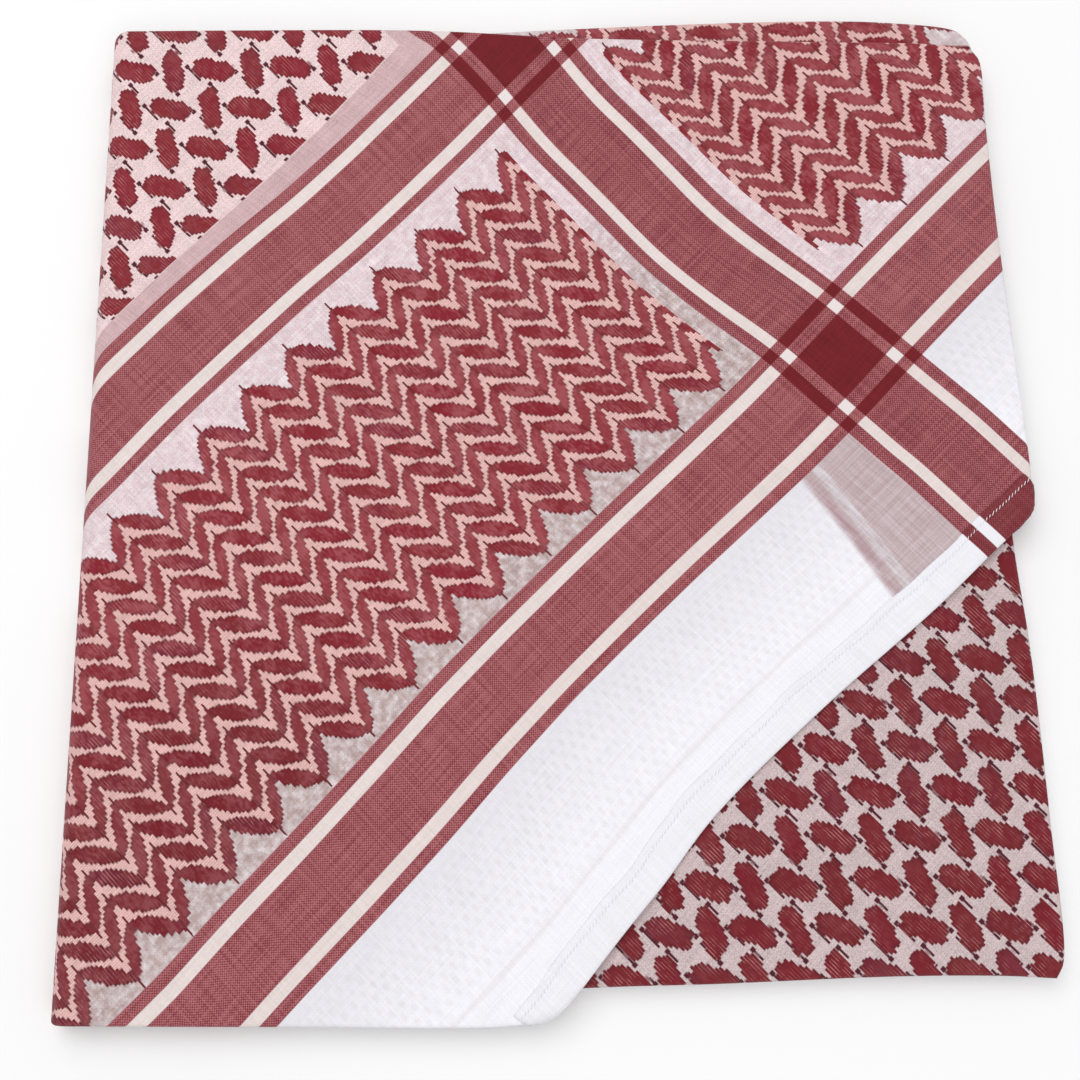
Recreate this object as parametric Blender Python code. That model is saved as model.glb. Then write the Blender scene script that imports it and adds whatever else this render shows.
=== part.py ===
"""Keffiyeh headscarf, a hemmed square of woven cotton folded into a flat bundle.

The bundle lies on the XY plane with its turned hem running across it as a diagonal.  +X is to the
right, +Y is to the back and +Z is up.  Lengths are metres.
"""
import math

import bmesh
import bpy
import numpy as np

# ---- driving dimensions -------------------------------------------------------------------------
CLOTH_WALL = 0.0012          # thickness of one stretch of cloth, its loft included
SEAM_GAP = 0.0003            # clearance between neighbouring pieces
BUNDLE_HEIGHT = 0.0132       # from the table to the top stretch

TURN_RADIUS = 0.00145        # outer radius where a stretch turns under itself
TURN_TUCK = 0.003            # how far the turned edge runs back underneath
TURN_STEPS = 5

WRAP_RADIUS = BUNDLE_HEIGHT / 2      # the left fold goes round the whole bundle
WRAP_STEPS = 8
WRAP_TAIL = 0.002            # flat end of the wrap, on the table

FLAP_COLUMNS = 14
FLAP_RIGHT_ROWS = 12
FLAP_HEM_ROWS = 10
SECOND_STEPS = 14

HEM_WIDTH = 0.0125
HEM_WALL = 0.0010
HEM_STEPS = 26
HEM_ACROSS = 4

RIPPLE_DEPTH = 0.0005        # soft troughs of the top stretch
RIPPLE_PITCH = 0.085
RIPPLE_SLANT = 0.6           # how far the cross waves lean
RIPPLE_LIMIT = 0.150         # the troughs die out past this distance from the middle
RIPPLE_FADE = 0.05

CORE_LOBES = 3               # folded edges that show in the side of the hidden layers
CORE_BULGE = 0.0016          # how far each folded edge stands out of the groove below it
CORE_INSET = 0.0012          # hidden layers stop this far inside the second stretch
CORE_STATIONS = 84
CORNER_ROUND = 0.004
CORNER_START = 2 * CORNER_ROUND      # where the rounding of a left corner begins
CORNER_CUT = 0.3 * CORNER_ROUND      # how far its middle lies in from the sharp corner
LOBE_PROFILE = (1.0, 0.25, 0.0, 0.25)      # share of the bulge taken off, from one groove to the next
LOBE_SHIFT = (0.0004, 0.0, 0.0006)         # each folded edge lies a little further in or out

UNDERSIDE_INSET = 0.0008
EDGE_ROUND = 0.0004

SECOND_TOP_EDGE = 0.0100     # top of the second stretch at its folds
SECOND_TOP_MIDDLE = 0.0117   # and in the middle of the bundle
CROWN_START = 0.016          # the second stretch starts to rise this far inside its folds
CROWN_REACH = 0.030          # and reaches its full height over this distance
CORE_CROWN_LAG = 0.004       # the hidden layers rise this much further in
CORE_SHELF_RISE = 0.0015     # width of the step behind the second stretch's turned edge

# ---- outlines: each row is a station along one edge ----------------------------------------------
# Back fold of the top stretch, from where the left fold starts to bend down to the right corner.
FLAP_BACK = (
    # x, y
    (-0.1658, 0.1812),
    (-0.1199, 0.1816),
    (-0.0493, 0.1814),
    (0.0135, 0.1780),
    (0.0957, 0.1766),
    (0.1541, 0.1750),
    (0.1631, 0.1730),
)
# Right fold of the top stretch, down to where the hem comes over it.
FLAP_RIGHT = (
    # x, y
    (0.1631, 0.1730),
    (0.1659, 0.1684),
    (0.1664, 0.1418),
    (0.1677, 0.0949),
    (0.1712, 0.0315),
    (0.1725, -0.0012),
    (0.1719, -0.0105),
    (0.1683, -0.0170),
    (0.1631, -0.0213),
)
# Hemmed edge, bowed in towards the middle of the bundle.
FLAP_HEM = (
    # x, y
    (0.1631, -0.0213),
    (0.1558, -0.0279),
    (0.1356, -0.0468),
    (0.0919, -0.0839),
    (0.0541, -0.1199),
    (0.0368, -0.1419),
    (0.0229, -0.1582),
    (0.0086, -0.1759),
)
# Front fold of the top stretch.
FLAP_FRONT = (
    # x, y
    (-0.1613, -0.1872),
    (-0.0862, -0.1874),
    (-0.0145, -0.1871),
    (-0.0029, -0.1850),
    (0.0031, -0.1812),
    (0.0086, -0.1759),
)
# Second stretch: back fold, right fold and front fold.
SECOND_BACK = (
    # x, y
    (-0.1639, 0.1733),
    (-0.1019, 0.1758),
    (-0.0493, 0.1806),
    (0.0135, 0.1845),
    (0.0957, 0.1876),
    (0.1304, 0.1871),
    (0.1581, 0.1836),
    (0.1621, 0.1803),
)
SECOND_RIGHT = (
    # x, y
    (0.1621, 0.1803),
    (0.1643, 0.1758),
    (0.1641, 0.0948),
    (0.1653, -0.0216),
    (0.1683, -0.0611),
    (0.1703, -0.1198),
    (0.1709, -0.1672),
    (0.1681, -0.1724),
)
SECOND_FRONT = (
    # x, y
    (-0.1579, -0.1822),
    (-0.1019, -0.1817),
    (-0.0419, -0.1794),
    (0.0091, -0.1756),
    (0.0541, -0.1742),
    (0.1141, -0.1718),
    (0.1501, -0.1716),
    (0.1681, -0.1724),
)

# The line where the left fold starts to bend down, one radius inside the fold itself.
WRAP_BACK = np.array(FLAP_BACK[0])
WRAP_FRONT = np.array(FLAP_FRONT[0])
CORNER_DROP = 0.0022         # the back edge dips where it goes round the left fold
DIP_REACH = 0.5              # share of the left fold over which it dips
DIP_FADE = 3                 # how fast the dip dies out down the fold

COLOURS = {
    # node: base colour
    "top_flap": (0.52, 0.16, 0.17, 1.0),
    "hem": (0.84, 0.84, 0.86, 1.0),
    "second_layer": (0.42, 0.10, 0.12, 1.0),
    "folded_core": (0.60, 0.34, 0.35, 1.0),
    "underside": (0.50, 0.20, 0.22, 1.0),
}
COTTON_ROUGHNESS = 0.9
SHARP_ANGLE = math.radians(50)
MERGE_DISTANCE = 1e-6        # points closer than this are one
CURVE_STEPS = 24             # steps read between two rows of an outline


# ---- curves and surfaces -------------------------------------------------------------------------
def smooth_path(rows, count):
    """A curve through the rows (centripetal Catmull-Rom), read at count + 1 even steps of length."""
    points = np.array(rows, dtype=float)
    ends = np.vstack([2 * points[0] - points[1], points, 2 * points[-1] - points[-2]])
    fine = []
    for p0, p1, p2, p3 in zip(ends[:-3], ends[1:-2], ends[2:-1], ends[3:]):
        knots = np.cumsum([0.0] + [max(np.linalg.norm(b - a), 1e-9) ** 0.5
                                   for a, b in ((p0, p1), (p1, p2), (p2, p3))])
        t = np.linspace(knots[1], knots[2], CURVE_STEPS, endpoint=False)[:, None]
        a1 = ((knots[1] - t) * p0 + (t - knots[0]) * p1) / (knots[1] - knots[0])
        a2 = ((knots[2] - t) * p1 + (t - knots[1]) * p2) / (knots[2] - knots[1])
        a3 = ((knots[3] - t) * p2 + (t - knots[2]) * p3) / (knots[3] - knots[2])
        b1 = ((knots[2] - t) * a1 + (t - knots[0]) * a2) / (knots[2] - knots[0])
        b2 = ((knots[3] - t) * a2 + (t - knots[1]) * a3) / (knots[3] - knots[1])
        fine.append(((knots[2] - t) * b1 + (t - knots[1]) * b2) / (knots[2] - knots[1]))
    fine = np.vstack(fine + [points[-1:]])
    length = np.concatenate([[0.0], np.cumsum(np.linalg.norm(np.diff(fine, axis=0), axis=1))])
    even = np.linspace(0.0, length[-1], count + 1)
    return np.column_stack([np.interp(even, length, fine[:, axis]) for axis in (0, 1)])


def patch(back, front, left, right):
    """The plan grid between four edges: rows run left to right, from the back row to the front row.

    Each point adds what the two edges beside it say, less what its corners count twice.
    """
    s = np.linspace(0.0, 1.0, len(back))[None, :, None]
    t = np.linspace(0.0, 1.0, len(left))[:, None, None]
    along = (1 - t) * back[None] + t * front[None]
    across = (1 - s) * left[:, None] + s * right[:, None]
    corners = ((1 - s) * (1 - t) * back[0] + s * (1 - t) * back[-1]
               + (1 - s) * t * front[0] + s * t * front[-1])
    return along + across - corners


def smoothstep(value):
    """0 below 0, 1 above 1, and a soft S between them."""
    value = np.clip(value, 0.0, 1.0)
    return value * value * (3 - 2 * value)


def ripple(x, y):
    """Soft troughs across the weave, which die out towards the folds."""
    inner = (smoothstep((RIPPLE_LIMIT - np.abs(x)) / RIPPLE_FADE)
             * smoothstep((RIPPLE_LIMIT - np.abs(y)) / RIPPLE_FADE))
    wave = (np.sin(2 * math.pi * (x + y) / RIPPLE_PITCH)
            * np.sin(math.pi * (x - RIPPLE_SLANT * y) / RIPPLE_PITCH))
    return -RIPPLE_DEPTH * inner * (0.5 + 0.5 * wave)


def outward(path):
    """The unit normal of a path, to the left of its direction."""
    along = np.gradient(path, axis=0)
    normal = np.column_stack([-along[:, 1], along[:, 0]])
    return normal / np.linalg.norm(normal, axis=1)[:, None]


def turned_edge(path, base_z):
    """Rows of points that leave the path's inset line, go round half a turn and run back under.

    The path is the outer line of the fold, and its left side is the outside.  A row is one step of
    the half turn; the last row is the end of the tuck.
    """
    normal = outward(path)
    angles = np.linspace(0.0, math.pi, TURN_STEPS + 1)[1:]
    rows = []
    for angle in angles:
        reach = TURN_RADIUS * (math.sin(angle) - 1.0)
        drop = TURN_RADIUS * (1.0 - math.cos(angle))
        rows.append(np.column_stack([path + normal * reach, base_z - drop]))
    rows.append(np.column_stack([path - normal * (TURN_RADIUS + TURN_TUCK), base_z - 2 * TURN_RADIUS]))
    return rows


def wrap_line(y):
    """x of the line where the left fold starts to bend down."""
    share = (y - WRAP_FRONT[1]) / (WRAP_BACK[1] - WRAP_FRONT[1])
    return WRAP_FRONT[0] + share * (WRAP_BACK[0] - WRAP_FRONT[0])


def wrap_left(points):
    """Bend what lies left of the wrap line down round the bundle's left fold.

    The length beyond the line becomes an angle, and the depth below the top stretch becomes a
    smaller radius.  What is left after half a turn runs back flat underneath.
    """
    x, y, z = points.T
    line = wrap_line(y)
    length = np.maximum(line - x, 0.0)
    angle = np.minimum(length / WRAP_RADIUS, math.pi)
    tail = np.maximum(length - math.pi * WRAP_RADIUS, 0.0)
    radius = WRAP_RADIUS - (BUNDLE_HEIGHT - z)
    bent_x = line - radius * np.sin(angle) + tail
    bent_z = BUNDLE_HEIGHT - WRAP_RADIUS + radius * np.cos(angle)
    inside = length > 0
    return np.column_stack([np.where(inside, bent_x, x), y, np.where(inside, bent_z, z)])


def bore_reach(z):
    """How far left of the wrap line something at height z fits inside the left fold."""
    bore = WRAP_RADIUS - CLOTH_WALL - SEAM_GAP
    return math.sqrt(max(bore ** 2 - (z - WRAP_RADIUS) ** 2, 0.0))


def flap_height(x, y):
    """Height of the top stretch's outer face over a plan point."""
    return BUNDLE_HEIGHT + ripple(x, y)


def second_height(x, y, edge_distance):
    """Height of the second stretch's outer face, which rises from its folds to the middle."""
    rise = smoothstep((edge_distance - CROWN_START) / CROWN_REACH)
    return SECOND_TOP_EDGE + (SECOND_TOP_MIDDLE - SECOND_TOP_EDGE) * rise + ripple(x, y) * rise


# ---- objects -------------------------------------------------------------------------------------
def cotton(name):
    """Matt cotton in the piece's main colour."""
    material = bpy.data.materials.new(name + "_cotton")
    material.use_nodes = True
    shader = material.node_tree.nodes["Principled BSDF"]
    shader.inputs["Base Color"].default_value = COLOURS[name]
    shader.inputs["Roughness"].default_value = COTTON_ROUGHNESS
    shader.inputs["Metallic"].default_value = 0.0
    return material


def add_object(name, vertices, faces):
    """Make the named object, with its doubled points merged and its material on it."""
    mesh = bpy.data.meshes.new(name)
    mesh.from_pydata([tuple(v) for v in vertices], [], [tuple(int(i) for i in f) for f in faces])
    body = bmesh.new()
    body.from_mesh(mesh)
    bmesh.ops.remove_doubles(body, verts=body.verts, dist=MERGE_DISTANCE)
    bmesh.ops.recalc_face_normals(body, faces=body.faces)
    body.to_mesh(mesh)
    body.free()
    mesh.materials.append(cotton(name))
    mesh.shade_smooth()
    mesh.set_sharp_from_angle(angle=SHARP_ANGLE)
    piece = bpy.data.objects.new(name, mesh)
    bpy.context.scene.collection.objects.link(piece)
    return piece


def grid_faces(rows, columns, first=0):
    """Quads of a grid of points stored row by row."""
    corner = (np.arange(rows - 1)[:, None] * columns + np.arange(columns - 1)[None]).ravel() + first
    return np.column_stack([corner, corner + columns, corner + columns + 1, corner + 1])


def point_up(piece, probe):
    """Turn the faces of an open sheet so that the face nearest the probe looks up."""
    mesh = piece.data
    nearest = min(mesh.polygons, key=lambda face: sum((a - b) ** 2 for a, b in zip(face.center, probe)))
    if nearest.normal.z < 0:
        mesh.flip_normals()


def thicken(piece, wall):
    """Give an open sheet its wall, inwards from its outer face."""
    solid = piece.modifiers.new("wall", "SOLIDIFY")
    solid.thickness = wall
    solid.offset = -1.0
    solid.use_even_offset = True
    solid.use_rim = True


def sheet_with_turns(grid, turn_strips):
    """Vertices and faces of a grid of points and of the turned strips along its edges."""
    rows, columns, _ = grid.shape
    vertices = [grid.reshape(-1, 3)]
    faces = [grid_faces(rows, columns)]
    first = rows * columns
    for strip in turn_strips:
        vertices.append(strip.reshape(-1, 3))
        faces.append(grid_faces(strip.shape[0], strip.shape[1], first))
        first += strip.shape[0] * strip.shape[1]
    return np.vstack(vertices), np.vstack(faces)


def inset_edge(path, outside):
    """The path moved in by the turn's radius, to where the turn starts."""
    return path - outside * TURN_RADIUS


def build_top_flap():
    """The top stretch: flat, wrapped round the left fold and turned under at its other folds."""
    back = smooth_path(FLAP_BACK, FLAP_COLUMNS)
    right = smooth_path(FLAP_RIGHT, FLAP_RIGHT_ROWS)
    hem = smooth_path(FLAP_HEM, FLAP_HEM_ROWS)
    front = smooth_path(FLAP_FRONT, FLAP_COLUMNS)

    back_in = inset_edge(back, outward(back))
    right_in = inset_edge(right, outward(right))
    front_in = inset_edge(front, -outward(front))
    back_in[-1] = right_in[0] = (back_in[-1] + right_in[0]) / 2
    side_in = np.vstack([right_in, hem[1:-1], front_in[-1:]])
    left_in = np.linspace(back_in[0], front_in[0], len(side_in))
    plan = patch(back_in, front_in, left_in, side_in)

    bend = math.pi * WRAP_RADIUS
    beyond = np.append(bend + WRAP_TAIL, np.linspace(bend, 0.0, WRAP_STEPS + 1)[:-1])
    dip = CORNER_DROP * smoothstep(beyond / (DIP_REACH * bend))
    rows_down = np.linspace(1.0, 0.0, len(side_in))[:, None] ** DIP_FADE
    wrap = np.dstack([plan[:, :1, 0] - beyond[None], plan[:, :1, 1] - dip[None] * rows_down])
    plan = np.concatenate([wrap, plan], axis=1)
    grid = np.dstack([plan, flap_height(plan[..., 0], plan[..., 1])])

    wrap_back = np.column_stack([back[0, 0] - beyond, back[0, 1] - dip])
    wrap_front = np.column_stack([front[0, 0] - beyond, np.full(len(beyond), front[0, 1])])
    back_and_right = np.vstack([wrap_back, back, right[1:]])
    front_line = np.vstack([wrap_front, front])[::-1]
    strips = []
    for edge, outline in ((np.vstack([grid[0], grid[1:len(right), -1]]), back_and_right),
                          (grid[-1][::-1], front_line)):
        strips.append(np.stack([edge] + turned_edge(outline, edge[:, 2])))

    vertices, faces = sheet_with_turns(grid, strips)
    piece = add_object("top_flap", wrap_left(vertices), faces)
    point_up(piece, (0.0, 0.0, BUNDLE_HEIGHT))
    thicken(piece, CLOTH_WALL)
    return piece


def build_hem():
    """The doubled hem: a strip along the free edge, moved out from the top stretch."""
    edge = smooth_path(FLAP_HEM, HEM_STEPS)
    inward = -outward(edge)
    inner_edge = edge + inward * HEM_WIDTH
    width = np.linspace(0.0, 1.0, HEM_ACROSS + 1)[:, None, None]
    plan = (1 - width) * edge[None] + width * inner_edge[None]
    plan = plan[:, 1:-1]
    height = flap_height(plan[..., 0], plan[..., 1]) + SEAM_GAP + HEM_WALL
    grid = np.dstack([plan, height])
    piece = add_object("hem", grid.reshape(-1, 3), grid_faces(*grid.shape[:2]))
    point_up(piece, grid[0, HEM_STEPS // 2])
    thicken(piece, HEM_WALL)
    return piece


def edge_distances(plan):
    """Distance of each grid point from the nearest of the back, right and front edges."""
    edge = np.vstack([plan[0], plan[1:-1, -1], plan[-1]])
    gap = plan[:, :, None] - edge[None, None]
    return np.sqrt((gap ** 2).sum(axis=-1)).min(axis=-1)


def build_second_layer():
    """The second stretch: crowned in the middle, and turned under at its back, right and front."""
    back = smooth_path(SECOND_BACK, SECOND_STEPS)
    right = smooth_path(SECOND_RIGHT, SECOND_STEPS)
    front = smooth_path(SECOND_FRONT, SECOND_STEPS)
    back_in = inset_edge(back, outward(back))
    right_in = inset_edge(right, outward(right))
    front_in = inset_edge(front, -outward(front))
    back_in[-1] = right_in[0] = (back_in[-1] + right_in[0]) / 2
    front_in[-1] = right_in[-1] = (front_in[-1] + right_in[-1]) / 2
    left = np.linspace(back_in[0], front_in[0], len(right))
    plan = patch(back_in, front_in, left, right_in)
    grid = np.dstack([plan, second_height(plan[..., 0], plan[..., 1], edge_distances(plan))])

    loop = np.vstack([back, right[1:], front[::-1][1:]])
    loop_grid = np.vstack([grid[0], grid[1:, -1], grid[-1][::-1][1:]])
    strip = np.stack([loop_grid] + turned_edge(loop, loop_grid[:, 2]))
    vertices, faces = sheet_with_turns(grid, [strip])
    piece = add_object("second_layer", vertices, faces)
    point_up(piece, (0.0, 0.0, SECOND_TOP_MIDDLE))
    thicken(piece, CLOTH_WALL)
    return piece


def hidden_outline():
    """The outline of the hidden layers as one closed anticlockwise line, and its outward normals.

    It is the second stretch's outline, with its left side moved out into the left fold.
    """
    reach = bore_reach(WRAP_RADIUS)
    back_x, back_y = WRAP_BACK[0] - reach, SECOND_BACK[0][1] - TURN_RADIUS
    front_x, front_y = WRAP_FRONT[0] - reach, SECOND_FRONT[0][1] + TURN_RADIUS
    left = (
        # x, y
        (back_x + CORNER_START, back_y),
        (back_x + CORNER_CUT, back_y - CORNER_CUT),
        (back_x, back_y - CORNER_START),
        (front_x, front_y + CORNER_START),
        (front_x + CORNER_CUT, front_y + CORNER_CUT),
        (front_x + CORNER_START, front_y),
    )
    loop = SECOND_BACK[:0:-1] + left + SECOND_FRONT[1:] + SECOND_RIGHT[-2:0:-1]
    outline = smooth_path(loop + loop[:1], CORE_STATIONS)[:-1]
    closed = np.vstack([outline[-1:], outline, outline[:1]])
    return outline, -outward(closed)[1:-1]


def stacked_solid(name, rings):
    """A closed solid through the rings, from the lowest to the highest, capped at both ends."""
    count = len(rings[0])
    around = np.arange(count)
    following = (around + 1) % count
    faces = [around[::-1], (len(rings) - 1) * count + around]
    for level in range(len(rings) - 1):
        low = level * count
        high = low + count
        faces += list(np.column_stack([low + around, low + following, high + following, high + around]))
    return add_object(name, np.vstack(rings), faces)


def build_folded_core():
    """The hidden layers: one solid whose side is a stack of rounded folded edges."""
    outline, normal = hidden_outline()
    base = CLOTH_WALL + SEAM_GAP
    edge_top = SECOND_TOP_EDGE - 2 * TURN_RADIUS - SEAM_GAP
    line = wrap_line(outline[:, 1])

    rings = []
    for step in range(CORE_LOBES * len(LOBE_PROFILE) + 1):
        lobe, part = divmod(step, len(LOBE_PROFILE))
        z = base + (edge_top - base) * step / (CORE_LOBES * len(LOBE_PROFILE))
        inset = CORE_INSET + CORE_BULGE * LOBE_PROFILE[part] + LOBE_SHIFT[min(lobe, CORE_LOBES - 1)]
        ring = outline - normal * inset
        ring[:, 0] = np.maximum(ring[:, 0], line - bore_reach(z))
        rings.append(np.column_stack([ring, np.full(len(ring), z)]))

    shelf = TURN_RADIUS + TURN_TUCK + SEAM_GAP + CORE_INSET
    under_second = SECOND_TOP_EDGE - CLOTH_WALL - SEAM_GAP
    under_crown = SECOND_TOP_MIDDLE - RIPPLE_DEPTH - CLOTH_WALL - 2 * SEAM_GAP
    crown = (
        # inset from the outline, height
        (shelf, edge_top),
        (shelf + CORE_SHELF_RISE, under_second),
        (CROWN_START + CORE_CROWN_LAG, under_second),
        (CROWN_START + CROWN_REACH + CORE_CROWN_LAG, under_crown),
    )
    middle = (outline.max(axis=0) + outline.min(axis=0)) / 2
    half_size = (outline.max(axis=0) - outline.min(axis=0)) / 2
    for inset, z in crown:
        ring = middle + (outline - middle) * (1.0 - inset / half_size)
        rings.append(np.column_stack([ring, np.full(len(ring), z)]))
    return stacked_solid("folded_core", rings)


def build_underside():
    """The flat stretch on the table, from the end of the wrap to the other folds."""
    outline, normal = hidden_outline()
    start = wrap_line(outline[:, 1]) + WRAP_TAIL + SEAM_GAP
    rings = []
    for z, inset in ((0.0, EDGE_ROUND), (EDGE_ROUND, 0.0), (CLOTH_WALL - EDGE_ROUND, 0.0),
                     (CLOTH_WALL, EDGE_ROUND)):
        ring = outline - normal * (CORE_INSET + UNDERSIDE_INSET + inset)
        ring[:, 0] = np.maximum(ring[:, 0], start + inset)
        rings.append(np.column_stack([ring, np.full(len(ring), z)]))
    return stacked_solid("underside", rings)


for leftover in list(bpy.data.objects):
    bpy.data.objects.remove(leftover, do_unlink=True)

build_top_flap()
build_hem()
build_second_layer()
build_folded_core()
build_underside()
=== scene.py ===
"""Keffiyeh headscarf: its cloth, hem, stitches and weave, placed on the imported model.

The bundle lies on the XY plane.  +X is to the right, +Y is to the back and +Z is up.  Lengths are metres;
inside the shader groups they are turned into millimetres.
"""
import math

import bmesh
import bpy
import numpy as np
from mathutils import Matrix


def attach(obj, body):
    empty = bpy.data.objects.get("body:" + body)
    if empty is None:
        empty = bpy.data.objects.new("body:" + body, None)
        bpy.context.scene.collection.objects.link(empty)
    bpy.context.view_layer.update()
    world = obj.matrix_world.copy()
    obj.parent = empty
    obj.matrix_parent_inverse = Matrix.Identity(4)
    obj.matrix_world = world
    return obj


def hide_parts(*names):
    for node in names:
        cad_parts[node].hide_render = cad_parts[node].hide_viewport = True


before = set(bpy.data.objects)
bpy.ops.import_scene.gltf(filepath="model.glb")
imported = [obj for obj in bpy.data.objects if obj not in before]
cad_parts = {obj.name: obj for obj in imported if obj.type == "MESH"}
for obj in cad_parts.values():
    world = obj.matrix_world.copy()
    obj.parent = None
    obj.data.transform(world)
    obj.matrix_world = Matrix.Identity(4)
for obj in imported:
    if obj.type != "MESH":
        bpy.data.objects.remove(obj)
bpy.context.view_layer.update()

ROOT_HALF = math.sqrt(0.5)

# ---- sizes of the folded bundle ------------------------------------------------------------------
CLOTH_WALL = 0.0012          # room one stretch of cloth takes up, its loft included
THREAD_WALL = 0.0005         # the woven cloth itself
SEAM_GAP = 0.0003
BUNDLE_HEIGHT = 0.0132
FLOOR_Z = -0.00005           # a hair below the cloth, so that the two never lie in one plane
WELD = 2e-6                  # points this close are one

TURN_RADIUS = 0.00145
TURN_TUCK = 0.003
TURN_STEPS = 8

WRAP_RADIUS = BUNDLE_HEIGHT / 2
WRAP_STEPS = 16
WRAP_TAIL = 0.002

FLAP_COLUMNS = 150
FLAP_RIGHT_ROWS = 88
FLAP_HEM_ROWS = 104
SECOND_STEPS = 160

UNDER_STEPS = 110
UNDER_GAP = 0.00008          # from the end of the wrapped tail
UNDER_INSET = 0.0008         # further in than the hidden layers
UNDER_TUCK = 0.002
UNDER_WALL = 0.0004

RIPPLE_DEPTH = 0.0005
RIPPLE_PITCH = 0.085
RIPPLE_LIMIT = 0.150         # the ripple dies out past this distance from the middle
RIPPLE_FADE = 0.05

SECOND_TOP_EDGE = 0.0100
SECOND_TOP_MIDDLE = 0.0117
CROWN_START = 0.016
CROWN_REACH = 0.030

HEM_WIDTH = 0.0125
HEM_STATIONS = 150
HEM_OVERHANG = 0.020         # length of the hem that goes on past each end, round the fold
HEM_WALL = 0.00025
HEM_LIFT = 0.0008            # height of the hem's outer face over the top stretch
HEM_UNDER = 0.004            # the weave under the edge is this much further on

LAYER_COUNT = 6
LAYER_BORE = WRAP_RADIUS - CLOTH_WALL - SEAM_GAP     # room for the layers inside the left fold
LAYER_STATIONS = 300
LAYER_STEPS = 8
LAYER_BULGE = 0.0007
LAYER_INSET = 0.0012
LAYER_SLACK = 0.0006         # the layers lie this much further in, give or take a wave and a slant
LAYER_WAVE = 0.00035
LAYER_SLANT = 0.0003
LAYER_GROOVE = 0.00022
LAYER_REACH = 0.037          # from one layer to the next in the weave
LAYER_SHIFT = (0.02, -0.11)
CORNER_ROUND = 0.004

STITCH_INSET = 0.0098        # from the free edge to the line of stitches
STITCH_PITCH = 0.00165
STITCH_LENGTH = 0.00150
STITCH_LEAN = 0.00042        # how far each end lies to one side of the line
STITCH_LIFT = 0.00054        # of the thread's ends over the top stretch
STITCH_CROWN = 0.00010       # and how much higher its middle is
STITCH_RADIUS = 0.00019
STITCH_SIDES = 6
STITCH_STEPS = 6

# ---- outlines ------------------------------------------------------------------------------------
FLAP_BACK = (
    # x, y
    (-0.1658, 0.1812),
    (-0.1199, 0.1816),
    (-0.0493, 0.1814),
    (0.0135, 0.1780),
    (0.0957, 0.1766),
    (0.1541, 0.1750),
    (0.1631, 0.1730),
)
FLAP_RIGHT = (
    # x, y
    (0.1631, 0.1730),
    (0.1659, 0.1684),
    (0.1664, 0.1418),
    (0.1677, 0.0949),
    (0.1712, 0.0315),
    (0.1725, -0.0012),
    (0.1719, -0.0105),
    (0.1683, -0.0170),
    (0.1631, -0.0213),
)
FLAP_HEM = (
    # x, y
    (0.1631, -0.0213),
    (0.1558, -0.0279),
    (0.1356, -0.0468),
    (0.0919, -0.0839),
    (0.0541, -0.1199),
    (0.0368, -0.1419),
    (0.0229, -0.1582),
    (0.0086, -0.1759),
)
FLAP_FRONT = (
    # x, y
    (-0.1613, -0.1872),
    (-0.0862, -0.1874),
    (-0.0145, -0.1871),
    (-0.0029, -0.1850),
    (0.0031, -0.1812),
    (0.0086, -0.1759),
)
SECOND_BACK = (
    # x, y
    (-0.1639, 0.1733),
    (-0.1019, 0.1758),
    (-0.0493, 0.1806),
    (0.0135, 0.1845),
    (0.0957, 0.1876),
    (0.1304, 0.1871),
    (0.1581, 0.1836),
    (0.1621, 0.1803),
)
SECOND_RIGHT = (
    # x, y
    (0.1621, 0.1803),
    (0.1643, 0.1758),
    (0.1641, 0.0948),
    (0.1653, -0.0216),
    (0.1683, -0.0611),
    (0.1703, -0.1198),
    (0.1709, -0.1672),
    (0.1681, -0.1724),
)
SECOND_FRONT = (
    # x, y
    (-0.1579, -0.1822),
    (-0.1019, -0.1817),
    (-0.0419, -0.1794),
    (0.0091, -0.1756),
    (0.0541, -0.1742),
    (0.1141, -0.1718),
    (0.1501, -0.1716),
    (0.1681, -0.1724),
)
HEM_PROFILE = (
    # inward from the free edge, height over the top stretch's face
    (0.0125, -0.00005),
    (0.0125, 0.00030),
    (0.0121, 0.00052),
    (0.0112, 0.00060),
    (0.0098, 0.00052),
    (0.0094, 0.00046),
    (0.0090, 0.00052),
    (0.0070, 0.00070),
    (0.0045, 0.00078),
    (0.0022, 0.00076),
    (0.0010, 0.00068),
    (0.0003, 0.00046),
    (0.0000, 0.00010),
    (0.0000, -0.00040),
    (0.0004, -0.00076),
    (0.0014, -0.00090),
    (0.0040, -0.00092),
)
WRAP_BACK = np.array(FLAP_BACK[0])
WRAP_FRONT = np.array(FLAP_FRONT[0])
CORNER_DROP = 0.0022

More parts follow.
